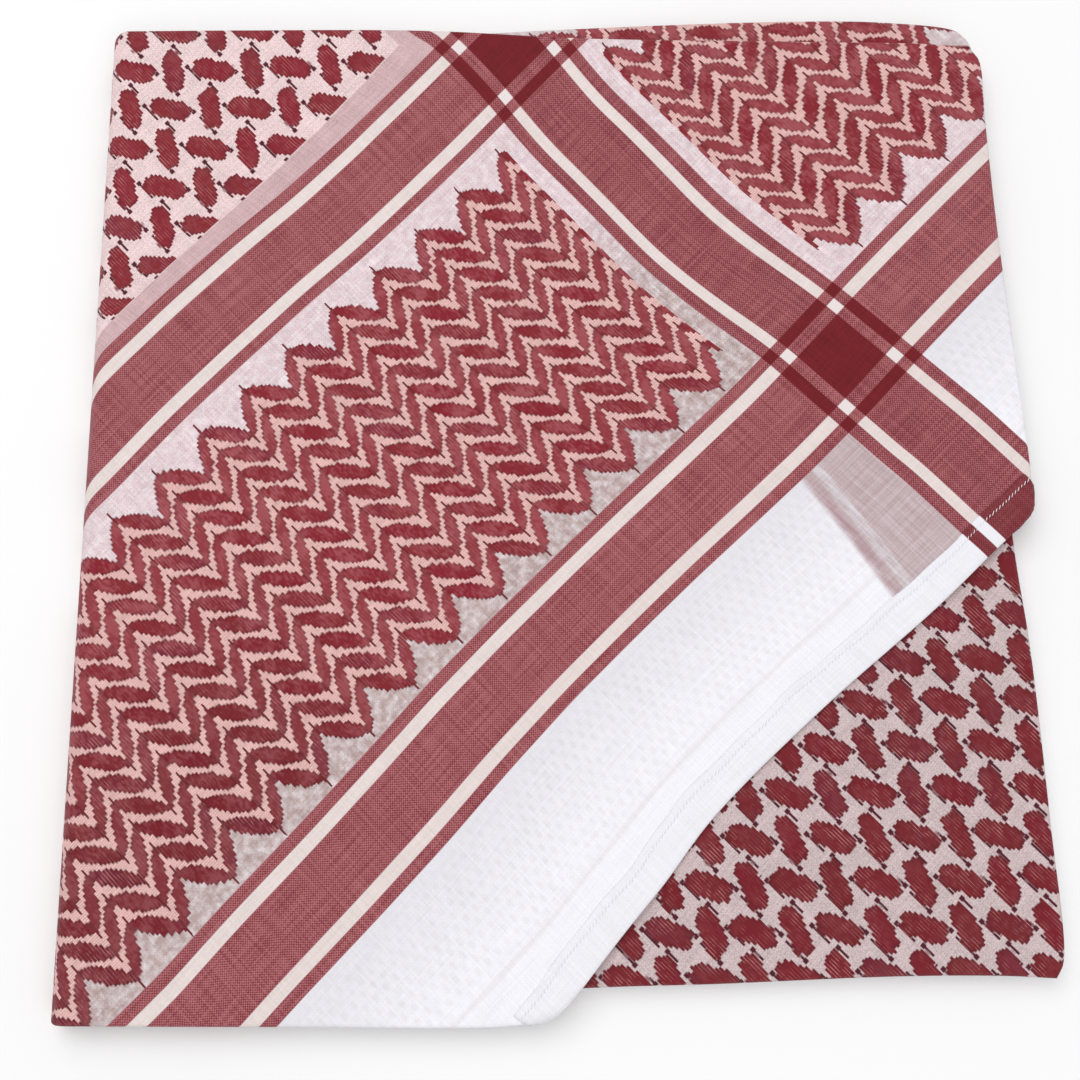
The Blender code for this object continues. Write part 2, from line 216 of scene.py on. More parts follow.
# ---- creases: soft troughs (depth above 0) and ridges (below 0) -----------------------------------
FLAP_CREASES = (
    # x0, y0, x1, y1, half width, depth
    (0.1130, -0.0300, 0.0735, -0.0690, 0.0030, 0.00050),
    (0.0735, -0.0690, 0.0260, -0.1180, 0.0036, 0.00042),
    (0.0260, -0.1180, -0.0196, -0.1692, 0.0032, 0.00050),
    (0.0620, -0.0480, -0.0050, -0.1220, 0.0080, 0.00030),
    (-0.0310, -0.1830, -0.0240, -0.1560, 0.0024, 0.00055),
    (-0.0170, -0.1850, -0.0120, -0.1640, 0.0020, 0.00050),
    (-0.0080, -0.1830, -0.0020, -0.1690, 0.0018, -0.00035),
    (-0.0480, -0.1850, -0.0430, -0.1650, 0.0035, 0.00030),
    (0.0640, 0.0980, 0.1120, 0.0500, 0.0090, 0.00050),
    (0.0200, 0.1420, 0.0560, 0.1060, 0.0070, -0.00035),
    (-0.1050, 0.1020, -0.0720, 0.1330, 0.0080, 0.00045),
    (-0.1480, 0.0560, -0.1180, 0.0930, 0.0070, -0.00035),
    (-0.1300, -0.0300, -0.0700, 0.0350, 0.0110, 0.00032),
    (-0.0900, -0.1500, -0.0300, -0.0900, 0.0100, 0.00030),
    (0.1020, -0.0100, 0.1380, 0.0200, 0.0060, 0.00035),
    (0.1500, 0.0100, 0.1640, -0.0060, 0.0028, 0.00045),
)
SECOND_CREASES = (
    # x0, y0, x1, y1, half width, depth
    (0.1230, -0.0900, 0.1560, -0.1300, 0.0060, 0.00045),
    (0.0700, -0.1500, 0.1250, -0.1350, 0.0070, 0.00040),
    (0.1420, -0.0500, 0.1500, -0.0850, 0.0045, -0.00030),
    (0.0350, -0.1640, 0.0600, -0.1560, 0.0040, 0.00035),
    (0.1000, -0.1650, 0.1080, -0.1450, 0.0030, 0.00030),
)
UNDER_CREASES = (
    # x0, y0, x1, y1, half width, depth
    (-0.1200, 0.1300, -0.0300, 0.0500, 0.0050, 0.00040),
    (0.0200, 0.1400, 0.0900, 0.0900, 0.0070, 0.00035),
    (0.0900, -0.0200, 0.1400, -0.0900, 0.0050, 0.00042),
    (-0.0900, -0.0700, -0.0200, -0.1300, 0.0060, 0.00035),
    (0.0300, -0.1650, 0.0450, -0.1300, 0.0030, 0.00040),
    (-0.1350, -0.0100, -0.1100, 0.0600, 0.0040, 0.00030),
)

# ---- the weave, in metres: "along" runs to the back left, "across" to the back right --------------
ALONG_PULL_AT = (-0.127, -0.041, 0.135)
ALONG_PULL = (
    # across, then the pull along at the hem, at the border band and at the inner band
    (-0.215, -0.0042, -0.0078, -0.0080),
    (-0.185, -0.0042, -0.0058, -0.0078),
    (-0.150, -0.0042, -0.0046, -0.0075),
    (-0.115, -0.0040, -0.0027, -0.0068),
    (-0.085, -0.0010, -0.0008, -0.0043),
    (-0.050, 0.0030, 0.0000, -0.0032),
    (-0.020, 0.0030, -0.0001, -0.0031),
    (0.010, 0.0016, -0.0003, -0.0038),
    (0.040, -0.0008, -0.0012, -0.0034),
    (0.070, -0.0030, -0.0018, -0.0021),
    (0.100, -0.0042, -0.0012, -0.0003),
    (0.130, -0.0042, 0.0002, 0.0012),
    (0.160, -0.0042, 0.0008, 0.0015),
    (0.190, -0.0042, 0.0011, 0.0015),
)
ACROSS_PULL_AT = (-0.190, 0.000, 0.108, 0.150, 0.195)
ACROSS_PULL = (
    # along, then the pull across from the front left to the back right
    (-0.127, 0.0015, 0.0000, 0.0015, 0.0015, 0.0020),
    (-0.092, 0.0015, 0.0000, 0.0021, 0.0020, 0.0020),
    (-0.074, 0.0015, 0.0000, 0.0013, 0.0010, 0.0020),
    (-0.050, 0.0015, 0.0000, 0.0005, 0.0000, 0.0025),
    (-0.026, 0.0015, 0.0000, 0.0000, -0.0014, 0.0033),
    (-0.014, 0.0016, -0.0003, -0.0013, -0.0018, 0.0033),
    (-0.002, 0.0018, -0.0009, -0.0033, -0.0022, 0.0030),
    (0.010, 0.0020, -0.0015, -0.0048, -0.0028, 0.0028),
    (0.022, 0.0020, -0.0017, -0.0060, -0.0034, 0.0025),
    (0.034, 0.0020, -0.0021, -0.0065, -0.0036, 0.0025),
    (0.046, 0.0020, -0.0023, -0.0058, -0.0034, 0.0025),
    (0.058, 0.0020, -0.0022, -0.0048, -0.0028, 0.0025),
    (0.076, 0.0020, -0.0018, -0.0037, -0.0024, 0.0025),
    (0.094, 0.0015, -0.0014, -0.0030, -0.0020, 0.0025),
    (0.106, 0.0010, -0.0012, -0.0013, -0.0010, 0.0025),
    (0.118, 0.0005, -0.0008, 0.0005, 0.0012, 0.0025),
    (0.130, 0.0000, 0.0000, 0.0022, 0.0024, 0.0025),
    (0.149, 0.0000, 0.0000, 0.0034, 0.0034, 0.0034),
)
PULL_STEP = 0.004
FIELD_START = 0.157          # past here, along, the fishnet field leans
FIELD_FADE = 0.012
FIELD_SKEW = (0.053, 0.032)  # how much it leans, along and across
FIELD_MIDDLE = (0.223, 0.011)
SECOND_SKEW = 0.049

# ---- weave sizes in millimetres -------------------------------------------------------------------
STRIPES = (
    # from, to (distance from the middle of the band), 1 red or 0 white
    (0.0, 11.4, 1),
    (11.4, 16.3, 0),
    (16.3, 20.8, 1),
)
CROSS_STRIPES = (
    # the same, for the cross band
    (0.0, 11.6, 1),
    (11.6, 15.9, 0),
    (15.9, 20.8, 1),
)
BORDER_BAND = -41.0          # middle of the band beside the plain border, along
INNER_BAND = 135.0           # middle of the band beside the fishnet field, along
CROSS_BAND = 107.75          # middle of the band that crosses them, across
BAND_HALF = 20.8
CROSS_GAP = 6.6              # bare cloth between the cross band and the figured weave

BACK_STRIP = 168.0           # the second stretch shows the herringbone past here, towards the back
BACK_SHIFT = 20.0

GHOST_EDGE = 62.6            # across place where the shadow in the border starts
GHOST_SLOPE = 0.175          # and how much further it starts for each millimetre along
GHOST_AT = 62.0              # counted from this far before the weave's middle
GHOST_DARK = (-0.3, 3.6)     # stripes in the shadow, across from its edge
GHOST_PALE = (4.8, 8.6)
HEM_SHADE_LINE = (-105.2, -103.4)         # a faint line of painted shade beside the hem, along
DOT_PITCH = (7.4, 4.6)       # faint dots in the border, along and across
DOT_FIELD = (-103.0, -64.0)

THREAD_PITCH = 0.54
GAP_PITCH = 0.84             # dark lines between the picks under the figured weaves
FLOAT_PITCH = 1.08           # one column of floats

HERRING_PERIOD = 22.25
HERRING_VALLEY = 1.4         # across position of one valley
HERRING_RISE = 0.42          # share of the period from a valley up to the next peak
HERRING_LOW = -14.4          # along position of the lowest row's valleys
HERRING_SWING = 11.9
HERRING_ROW = 10.7
HERRING_ROWS = 11
HERRING_THICK = 2.45         # half the thickness of a leaf at its ends, along
HERRING_BULGE = 1.90         # and how much more at its middle
HERRING_NOTCH = 1.55         # depth of the bare tip that cuts into each corner
TICK_HALF = 0.36
TICK_LENGTH = 2.7

FISHNET_FIELD = 160.0        # figures centred past here, along, are drawn
FISHNET_CUT = 4.2            # and are cut off this far past that line
FISHNET_SQUARE = 2.9         # the higher, the blunter the figures' ends
FISHNET_FIGURES = (
    # lean of the figure's axis from along, half length, half width, share of a pitch moved
    (math.radians(20.0), 8.4, 4.05, 0.0),
    (math.radians(-24.0), 8.5, 4.15, 0.5),
)
FIELD_LEAN = math.radians(8.0)        # the figures past the inner band lean this much more
FIELD_GAP = 8.0              # plain cloth between the inner band and the field
FIELD_AWAY = 4000.0          # moves the field's start away where the whole stretch is fishnet
FISHNET_WAIST = 0.22         # how much narrower a figure is in its middle
FISHNET_LINKS = (
    # share of a pitch moved, across from the figure's centre, along from, along to, along of the knot
    (0.0, 4.9, -11.0, -2.4, -2.8),
    (0.0, -5.0, -9.0, 0.6, -8.6),
    (0.5, 5.8, -8.0, -4.4, -7.4),
    (0.5, -4.5, -8.3, -3.0, -3.5),
)
KNOT_HALF = 0.85
LINK_HALF = 0.44


def srgb(red, green, blue):
    """A colour of 0 to 255 steps as the shader's linear values."""
    steps = np.array((red, green, blue)) / 255.0
    linear = np.where(steps <= 0.04045, steps / 12.92, ((steps + 0.055) / 1.055) ** 2.4)
    return (*(float(v) for v in linear), 1.0)


COLOURS = {
    # part of the weave: colour
    "border": srgb(226, 224, 230),
    "border_edge": srgb(243, 242, 248),
    "ground": srgb(227, 184, 180),
    "ground_low": srgb(182, 160, 158),
    "ground_high": srgb(220, 198, 202),
    "ground_white": srgb(238, 230, 234),
    "ground_outer": srgb(204, 172, 175),
    "ground_net": srgb(232, 207, 207),
    "ground_lower": srgb(204, 185, 186),
    "white_stripe": srgb(227, 214, 211),
    "double_white": srgb(232, 222, 222),
    "single_dark": srgb(119, 45, 54),
    "single_light": srgb(180, 110, 114),
    "double_red": srgb(112, 24, 32),
    "thread_gap": srgb(146, 92, 96),
    "ghost": srgb(183, 158, 160),
    "ghost_dark": srgb(176, 142, 148),
    "crimson": srgb(134, 28, 44),
    "worn": srgb(166, 86, 92),
    "brown": srgb(130, 40, 44),
    "purple": srgb(124, 38, 62),
    "tick": srgb(104, 38, 44),
    "link": srgb(80, 24, 38),
    "streak": srgb(236, 172, 168),
}


# ---- curves and surfaces -------------------------------------------------------------------------
def smooth_path(rows, count):
    """A curve through the rows (centripetal Catmull-Rom), read at count + 1 even steps of length."""
    points = np.array(rows, dtype=float)
    ends = np.vstack([2 * points[0] - points[1], points, 2 * points[-1] - points[-2]])
    t = np.linspace(0.0, 1.0, 40, endpoint=False)[None, :, None]
    p0, p1, p2, p3 = (ends[i:len(ends) - 3 + i][:, None] for i in range(4))
    gaps = [np.maximum(np.linalg.norm(b - a, axis=-1, keepdims=True), 1e-9) ** 0.5
            for a, b in ((p0, p1), (p1, p2), (p2, p3))]
    k1 = gaps[0]
    k2 = k1 + gaps[1]
    k3 = k2 + gaps[2]
    u = k1 + (k2 - k1) * t
    a1 = ((k1 - u) * p0 + u * p1) / k1
    a2 = ((k2 - u) * p1 + (u - k1) * p2) / (k2 - k1)
    a3 = ((k3 - u) * p2 + (u - k2) * p3) / (k3 - k2)
    b1 = ((k2 - u) * a1 + u * a2) / k2
    b2 = ((k3 - u) * a2 + (u - k1) * a3) / (k3 - k1)
    fine = (((k2 - u) * b1 + (u - k1) * b2) / (k2 - k1)).reshape(-1, 2)
    fine = np.vstack([fine, points[-1:]])
    length = np.concatenate([[0.0], np.cumsum(np.linalg.norm(np.diff(fine, axis=0), axis=1))])
    even = np.linspace(0.0, length[-1], count + 1)
    return np.column_stack([np.interp(even, length, fine[:, axis]) for axis in (0, 1)])


def patch(back, front, left, right):
    """The plan grid between four edges: what the two edges beside a point say, less the corners' share."""
    s = np.linspace(0.0, 1.0, len(back))[None, :, None]
    t = np.linspace(0.0, 1.0, len(left))[:, None, None]
    along = (1 - t) * back[None] + t * front[None]
    across = (1 - s) * left[:, None] + s * right[:, None]
    corners = ((1 - s) * (1 - t) * back[0] + s * (1 - t) * back[-1]
               + (1 - s) * t * front[0] + s * t * front[-1])
    return along + across - corners


def smoothstep(value):
    """0 below 0, 1 above 1, and a soft S between them."""
    value = np.clip(value, 0.0, 1.0)
    return value * value * (3 - 2 * value)


def ripple(x, y):
    """Soft troughs across the weave, the product of two sines, which die out towards the folds."""
    inner = (smoothstep((RIPPLE_LIMIT - np.abs(x)) / RIPPLE_FADE)
             * smoothstep((RIPPLE_LIMIT - np.abs(y)) / RIPPLE_FADE))
    wave = np.sin(2 * math.pi * (x + y) / RIPPLE_PITCH) * np.sin(math.pi * (x - 0.6 * y) / RIPPLE_PITCH)
    return -RIPPLE_DEPTH * inner * (0.5 + 0.5 * wave)


def creases(x, y, table):
    """Height the creases take off: each is depth times a bell across its line, tapered at its ends."""
    height = np.zeros(np.shape(x))
    for x0, y0, x1, y1, half_width, depth in table:
        run = np.array((x1 - x0, y1 - y0))
        length = np.linalg.norm(run)
        run = run / length
        on = (x - x0) * run[0] + (y - y0) * run[1]
        off = (y - y0) * run[0] - (x - x0) * run[1]
        off = off - 0.06 * length * np.sin(math.pi * np.clip(on / length, 0.0, 1.0))
        taper = smoothstep(on / (0.35 * length) + 0.5) * smoothstep((length - on) / (0.35 * length) + 0.5)
        height -= depth * np.exp(-(off / half_width) ** 2) * taper
    return height


def outward(path):
    """The unit normal of a path, to the left of its direction."""
    along = np.gradient(path, axis=0)
    normal = np.column_stack([-along[:, 1], along[:, 0]])
    return normal / np.linalg.norm(normal, axis=1)[:, None]


def turned_edge(edge, path, base_z, depth, tuck):
    """Rows that leave the inset edge, go round half a turn of the given radius and run back under.

    Also gives where each point lies when the cloth is opened flat: the edge's own plan point, moved
    out by the radius times the angle.
    """
    normal = outward(path)
    angles = np.linspace(0.0, math.pi, TURN_STEPS + 1)[1:, None]
    reach = depth * (np.sin(angles) - 1.0)
    drop = depth * (1.0 - np.cos(angles))
    reach = np.vstack([reach, [[-depth - tuck]]])
    drop = np.vstack([drop, [[2 * depth]]])
    out = np.vstack([depth * angles, [[depth * math.pi + tuck]]])
    points = np.dstack([path[None] + normal[None] * reach[..., None], base_z[None] - drop])
    flat = edge[None] + normal[None] * out[..., None]
    return points, flat


def wrap_line(y):
    """x of the line where the left fold starts to bend down."""
    share = (y - WRAP_FRONT[1]) / (WRAP_BACK[1] - WRAP_FRONT[1])
    return WRAP_FRONT[0] + share * (WRAP_BACK[0] - WRAP_FRONT[0])


def wrap_left(points):
    """Bend what lies left of the wrap line down round the left fold: length over radius is the angle."""
    x, y, z = points.T
    line = wrap_line(y)
    length = np.maximum(line - x, 0.0)
    angle = np.minimum(length / WRAP_RADIUS, math.pi)
    tail = np.maximum(length - math.pi * WRAP_RADIUS, 0.0)
    radius = WRAP_RADIUS - (BUNDLE_HEIGHT - z)
    bent_x = line - radius * np.sin(angle) + tail
    bent_z = BUNDLE_HEIGHT - WRAP_RADIUS + radius * np.cos(angle)
    inside = length > 0
    return np.column_stack([np.where(inside, bent_x, x), y, np.where(inside, bent_z, z)])


def flap_height(x, y):
    """Height of the top stretch's outer face over a plan point."""
    fade = smoothstep((x - wrap_line(y)) / 0.01)
    return BUNDLE_HEIGHT + ripple(x, y) + creases(x, y, FLAP_CREASES) * fade


def second_height(x, y, edge_distance):
    """Height of the second stretch's outer face, which rises from its folds to the middle."""
    rise = smoothstep((edge_distance - CROWN_START) / CROWN_REACH)
    crown = SECOND_TOP_EDGE + (SECOND_TOP_MIDDLE - SECOND_TOP_EDGE) * rise
    return crown + ripple(x, y) * rise + creases(x, y, SECOND_CREASES)


def pull(rows_at, columns_at, table, places):
    """The cloth's pull at points given as (row place, column place).

    The table is read between its rows, softened by a small bell, and read straight between its columns.
    """
    rows = np.array(table)
    fine = np.arange(rows[0, 0], rows[-1, 0] + PULL_STEP, PULL_STEP)
    bell = np.array((1.0, 2.0, 3.0, 2.0, 1.0)) / 9.0
    curves = [np.convolve(np.pad(np.interp(fine, rows[:, 0], column), 2, mode="edge"), bell, "valid")
              for column in rows[:, 1:].T]
    readings = np.stack([np.interp(rows_at, fine, curve) for curve in curves])
    place = np.interp(columns_at, places, np.arange(len(places)))
    lower = np.minimum(place.astype(int), len(places) - 2)
    share = place - lower
    every = np.arange(len(place))
    return readings[lower, every] * (1 - share) + readings[lower + 1, every] * share


def weave_of(flat):
    """Where flat points lie in the weave: the plan turned by an eighth of a turn, less the pull."""
    x, y = flat.reshape(-1, 2).T
    along = (y - x) * ROOT_HALF
    across = (x + y) * ROOT_HALF
    along, across = (along - pull(across, along, ALONG_PULL, ALONG_PULL_AT),
                     across - pull(along, across, ACROSS_PULL, ACROSS_PULL_AT))
    field = smoothstep((along - FIELD_START) / FIELD_FADE)
    lean_along = FIELD_SKEW[0] * (across - FIELD_MIDDLE[1]) * field
    lean_across = FIELD_SKEW[1] * (along - FIELD_MIDDLE[0]) * field
    return np.column_stack([along - lean_along, across - lean_across])


def straight_weave(flat, shift=(0.0, 0.0), skew=0.0):
    """Where flat points lie in an unpulled stretch of the weave, moved by the shift and leant by the skew."""
    x, y = flat.reshape(-1, 2).T
    across = (x + y) * ROOT_HALF
    return np.column_stack([(y - x) * ROOT_HALF - skew * across + shift[0], across + shift[1]])


def grid_faces(rows, columns, first=0):
    """Quads of a grid of points stored row by row."""
    corner = (np.arange(rows - 1)[:, None] * columns + np.arange(columns - 1)[None]).ravel() + first
    return np.column_stack([corner, corner + columns, corner + columns + 1, corner + 1])


def wear_by_weave(piece, direction, steps):
    """Give faces the piece's further materials, by how far they lie in a direction of the weave.

    Each step is (material, limit): faces wholly past the limit, and past no later one, get it.
    """
    mesh = piece.data
    uv = np.empty(len(mesh.loops) * 2, dtype=np.float32)
    mesh.uv_layers["weave"].data.foreach_get("uv", uv)
    starts = np.empty(len(mesh.polygons), dtype=np.int32)
    mesh.polygons.foreach_get("loop_start", starts)
    nearest_corner = np.minimum.reduceat(uv.reshape(-1, 2) @ np.array(direction), starts)
    index = np.zeros(len(starts), dtype=np.int32)
    for number, (material, limit) in enumerate(steps, 1):
        mesh.materials.append(material)
        index[nearest_corner > limit] = number
    mesh.polygons.foreach_set("material_index", index)


def flat_area(corners):
    """Area inside a closed flat outline, by the sum of its edges' cross products."""
    x, y = corners.T
    return abs(float(np.sum(x * np.roll(y, -1) - y * np.roll(x, -1)))) / 2


# ---- pieces --------------------------------------------------------------------------------------
def add_piece(name, points, faces, weave, material, side=0, wall=0.0):
    """Make one piece from its points, faces and weave coordinates.

    side is 1 where an open sheet's broad face looks up and -1 where it looks down; wall thickens it inwards.
    """
    mesh = bpy.data.meshes.new(name)
    mesh.from_pydata(points.tolist(), [], faces.tolist())
    layer = mesh.uv_layers.new(name="weave")
    layer.data.foreach_set("uv", weave[faces.ravel()].astype(np.float32).ravel())
    body = bmesh.new()
    body.from_mesh(mesh)
    bmesh.ops.remove_doubles(body, verts=body.verts, dist=WELD)
    bmesh.ops.recalc_face_normals(body, faces=body.faces)
    body.to_mesh(mesh)
    body.free()
    if side:
        normals = np.empty(len(mesh.polygons) * 3, dtype=np.float32)
        mesh.polygons.foreach_get("normal", normals)
        areas = np.empty(len(mesh.polygons), dtype=np.float32)
        mesh.polygons.foreach_get("area", areas)
        if (normals[2::3] * areas).sum() * side < 0:
            mesh.flip_normals()
    mesh.materials.append(material)
    mesh.shade_smooth()
    piece = bpy.data.objects.new(name, mesh)
    bpy.context.scene.collection.objects.link(piece)
    if wall:
        solid = piece.modifiers.new("wall", "SOLIDIFY")
        solid.thickness = wall
        solid.offset = -1.0
        solid.use_even_offset = False
        solid.use_rim = True
    return piece


def joined(parts):
    """Points, faces and flat places of several grids, each given as (points, flat)."""
    points, faces, flats = [], [], []
    first = 0
    for part, flat in parts:
        points.append(part.reshape(-1, 3))
        flats.append(flat.reshape(-1, 2))
        faces.append(grid_faces(part.shape[0], part.shape[1], first))
        first += part.shape[0] * part.shape[1]
    return np.vstack(points), np.vstack(faces), np.vstack(flats)


def build_flap(material):
    """The top stretch: a patch between its folds, wrapped round the left fold and turned under elsewhere."""
    back = smooth_path(FLAP_BACK, FLAP_COLUMNS)
    right = smooth_path(FLAP_RIGHT, FLAP_RIGHT_ROWS)
    hem = smooth_path(FLAP_HEM, FLAP_HEM_ROWS)
    front = smooth_path(FLAP_FRONT, FLAP_COLUMNS)

    back_in = back - outward(back) * TURN_RADIUS
    right_in = right - outward(right) * TURN_RADIUS
    front_in = front + outward(front) * TURN_RADIUS
    back_in[-1] = right_in[0] = (back_in[-1] + right_in[0]) / 2
    side_in = np.vstack([right_in, hem[1:-1], front_in[-1:]])
    left_in = np.linspace(back_in[0], front_in[0], len(side_in))
    plan = patch(back_in, front_in, left_in, side_in)

    bend = math.pi * WRAP_RADIUS
    beyond = np.append(bend + WRAP_TAIL, np.linspace(bend, 0.0, WRAP_STEPS + 1)[:-1])
    dip = CORNER_DROP * smoothstep(beyond / (0.5 * bend))
    rows_down = np.linspace(1.0, 0.0, len(side_in))[:, None] ** 3
    wrap = np.dstack([plan[:, :1, 0] - beyond[None], plan[:, :1, 1] - dip[None] * rows_down])
    plan = np.concatenate([wrap, plan], axis=1)
    grid = np.dstack([plan, flap_height(plan[..., 0], plan[..., 1])])

    wrap_back = np.column_stack([back[0, 0] - beyond, back[0, 1] - dip])
    wrap_front = np.column_stack([front[0, 0] - beyond, np.full(len(beyond), front[0, 1])])
    back_and_right = np.vstack([wrap_back, back, right[1:]])
    front_line = np.vstack([wrap_front, front])[::-1]
    parts = [(grid, plan)]
    for edge, outline in ((np.vstack([grid[0], grid[1:len(right), -1]]), back_and_right),
                          (grid[-1][::-1], front_line)):
        turned, flat = turned_edge(edge[:, :2], outline, edge[:, 2], TURN_RADIUS, TURN_TUCK)
        parts.append((np.concatenate([edge[None], turned]), np.concatenate([edge[None, :, :2], flat])))
    points, faces, flat = joined(parts)
    piece = add_piece("top_flap_cloth", wrap_left(points), faces, weave_of(flat), material, 1, THREAD_WALL)
    rim = np.vstack([parts[1][1][-1], plan[len(right):, -1], parts[2][1][-1]])
    return piece, flat_area(rim)


def fold_over(points, outer, axis, sign):
    """Bend what lies past a fold round it.

    outer is the fold's outline: the place along the axis as a function of the other one.  Length past
    the start of the turn, over the radius, is the angle; after half a turn the cloth runs back flat.
    """
    other = 1 - axis
    order = np.argsort(outer[:, other])
    limit = np.interp(points[:, other], outer[order, other], outer[order, axis]) - sign * TURN_RADIUS
    radius = TURN_RADIUS + HEM_LIFT
    past = np.maximum(sign * (points[:, axis] - limit), 0.0)
    angle = np.minimum(past / radius, math.pi)
    tail = np.maximum(past - math.pi * radius, 0.0)
    bent = points.copy()
    turned = past > 0
    bent[turned, axis] = (limit + sign * (radius * np.sin(angle) - tail))[turned]
    inner = radius - (HEM_LIFT - (points[:, 2] - BUNDLE_HEIGHT))
    bent[turned, 2] = (points[:, 2] - inner * (1.0 - np.cos(angle)))[turned]
    return bent


def extended(path, length, step):
    """The path with straight ends added, each of that length."""
    count = max(int(round(length / step)), 2)
    ends = np.linspace(length, length / count, count)[:, None]
    first = path[0] + (path[0] - path[3]) / np.linalg.norm(path[0] - path[3]) * ends
    last = path[-1] + (path[-1] - path[-4]) / np.linalg.norm(path[-1] - path[-4]) * ends[::-1]
    return np.vstack([first, path, last])


def hem_frame(inset, lift):
    """Points at the given insets and lifts over the free edge, on every station, bent over both folds."""
    edge = smooth_path(FLAP_HEM, HEM_STATIONS)
    step = np.linalg.norm(edge[1] - edge[0])
    edge = extended(edge, HEM_OVERHANG, step)
    inward = -outward(edge)
    run = np.concatenate([[0.0], np.cumsum(np.linalg.norm(np.diff(edge, axis=0), axis=1))])
    wobble = 0.0003 * np.sin(run / 0.0085) + 0.0002 * np.sin(run / 0.0037 + 1.0)
    pinch = 1.0 + 0.10 * np.sin(run / 0.011) * np.sin(run / 0.0047)
    reach = inset[:, None] + wobble[None] * (inset > HEM_WIDTH / 2)[:, None]
    plan = edge[None] + inward[None] * reach[..., None]
    height = flap_height(plan[..., 0], plan[..., 1]) + lift[:, None] * pinch[None]
    flat = plan.copy()
    points = np.dstack([plan, height]).reshape(-1, 3)
    right = smooth_path(FLAP_RIGHT[2:], 60)
    front = smooth_path(FLAP_FRONT[1:], 60)
    points = fold_over(points, right, 0, 1)
    points = fold_over(points, front, 1, -1)
    return points.reshape(len(inset), -1, 3), flat, run


def build_hem(material):
    """The doubled hem: a folded profile carried along the free edge and over the folds at both ends."""
    profile = np.array(HEM_PROFILE)
    grid, flat, _ = hem_frame(profile[:, 0], profile[:, 1])
    turned = profile[:, 1] < 0
    points = grid.reshape(-1, 3)
    weave = weave_of(flat)
    weave[:, 0] = np.where(np.repeat(turned, grid.shape[1]), weave[:, 0] - HEM_UNDER, weave[:, 0])
    faces = grid_faces(*grid.shape[:2])
    return add_piece("hem_cloth", points, faces, weave, material, 1, HEM_WALL)


def build_stitches(material):
    """The hem's stitches: short threads that lie slanting over the seam, one after another.

    Each is a tube along a straight line from one side of the seam to the other, crowned by a cosine,
    with a radius that follows half an ellipse and is small at both ends.
    """
    grid, _, run = hem_frame(np.array((STITCH_INSET, STITCH_INSET - 0.001)), np.full(2, STITCH_LIFT))
    centre = grid[0]
    sideways = grid[1] - grid[0]
    sideways /= np.linalg.norm(sideways, axis=1)[:, None]
    count = int(run[-1] / STITCH_PITCH)
    share = np.linspace(-1.0, 1.0, STITCH_STEPS + 1)
    number = np.arange(count)[:, None]
    uneven = 1.0 + 0.16 * np.sin(number * 2.4) + 0.12 * np.sin(number * 5.1 + 1.0)
    place = np.clip((number + 0.5) * STITCH_PITCH + share * STITCH_LENGTH / 2 * uneven, 0.0, run[-1])
    line = np.dstack([np.interp(place, run, centre[:, axis]) for axis in range(3)])
    aside = np.dstack([np.interp(place, run, sideways[:, axis]) for axis in range(3)])
    ahead = line[:, -1:] - line[:, :1]
    ahead = np.broadcast_to(ahead / np.linalg.norm(ahead, axis=2)[..., None], line.shape)
    up = np.cross(ahead, aside)
    up = np.where(up[..., 2:] < -0.5, -up, up)
    path = line + aside * (share * STITCH_LEAN * uneven)[..., None]
    path = path + up * (STITCH_CROWN * np.cos(share * math.pi / 2))[None, :, None]
    radius = STITCH_RADIUS * np.sqrt(1.0 - 0.93 * share ** 2)
    angles = np.linspace(0.0, 2 * math.pi, STITCH_SIDES + 1)
    ring = (aside[:, :, None] * np.cos(angles)[None, None, :, None]
            + up[:, :, None] * np.sin(angles)[None, None, :, None])
    points = path[:, :, None] + radius[None, :, None, None] * ring
    tube = grid_faces(STITCH_STEPS + 1, STITCH_SIDES + 1)
    last = STITCH_STEPS * (STITCH_SIDES + 1)
    ends = np.array(((0, 1, 2, 3), (0, 3, 4, 5), (last + 3, last + 2, last + 1, last),
                     (last + 5, last + 4, last + 3, last)))
    one = np.vstack([tube, ends])
    size = last + STITCH_SIDES + 1
    faces = (one[None] + (np.arange(count) * size)[:, None, None]).reshape(-1, 4)
    points = points.reshape(-1, 3)
    return add_piece("hem_stitches", points, faces, straight_weave(points[:, :2]), material)


def edge_distances(plan):
    """Distance of each grid point from the nearest of the back, right and front edges."""
    edge = np.vstack([plan[0], plan[1:-1, -1], plan[-1]])[::3]
    gap = plan.reshape(-1, 1, 2) - edge[None]
    return np.sqrt((gap ** 2).sum(axis=-1)).min(axis=-1).reshape(plan.shape[:2])


def loop_of(back, right, front):
    """One line along the back, down the right side and along the front."""
    return np.vstack([back, right[1:], front[::-1][1:]])


def open_patch(back, right, front, inset):
    """The plan grid between three outlines moved in by the inset, and the moved outlines as one line."""
    back_in = back - outward(back) * inset
    right_in = right - outward(right) * inset
    front_in = front + outward(front) * inset
    back_in[-1] = right_in[0] = (back_in[-1] + right_in[0]) / 2
    front_in[-1] = right_in[-1] = (front_in[-1] + right_in[-1]) / 2
    left = np.linspace(back_in[0], front_in[0], len(right))
    return patch(back_in, front_in, left, right_in), loop_of(back_in, right_in, front_in)


def with_rim(grid, plan, loop, side, depth, tuck):
    """Points, faces and flat places of a grid and its turned edge, which goes down for side 1 and up for -1.

    Also gives the area inside the flat outline.
    """
    edge = loop_of(grid[0], grid[:, -1], grid[-1])
    turned, flat = turned_edge(edge[:, :2], loop, side * edge[:, 2], depth, tuck)
    turned[..., 2] *= side
    strip = np.concatenate([edge[None], turned])
    strip_flat = np.concatenate([edge[None, :, :2], flat])
    return (*joined([(grid, plan), (strip, strip_flat)]), flat_area(flat[-1]))


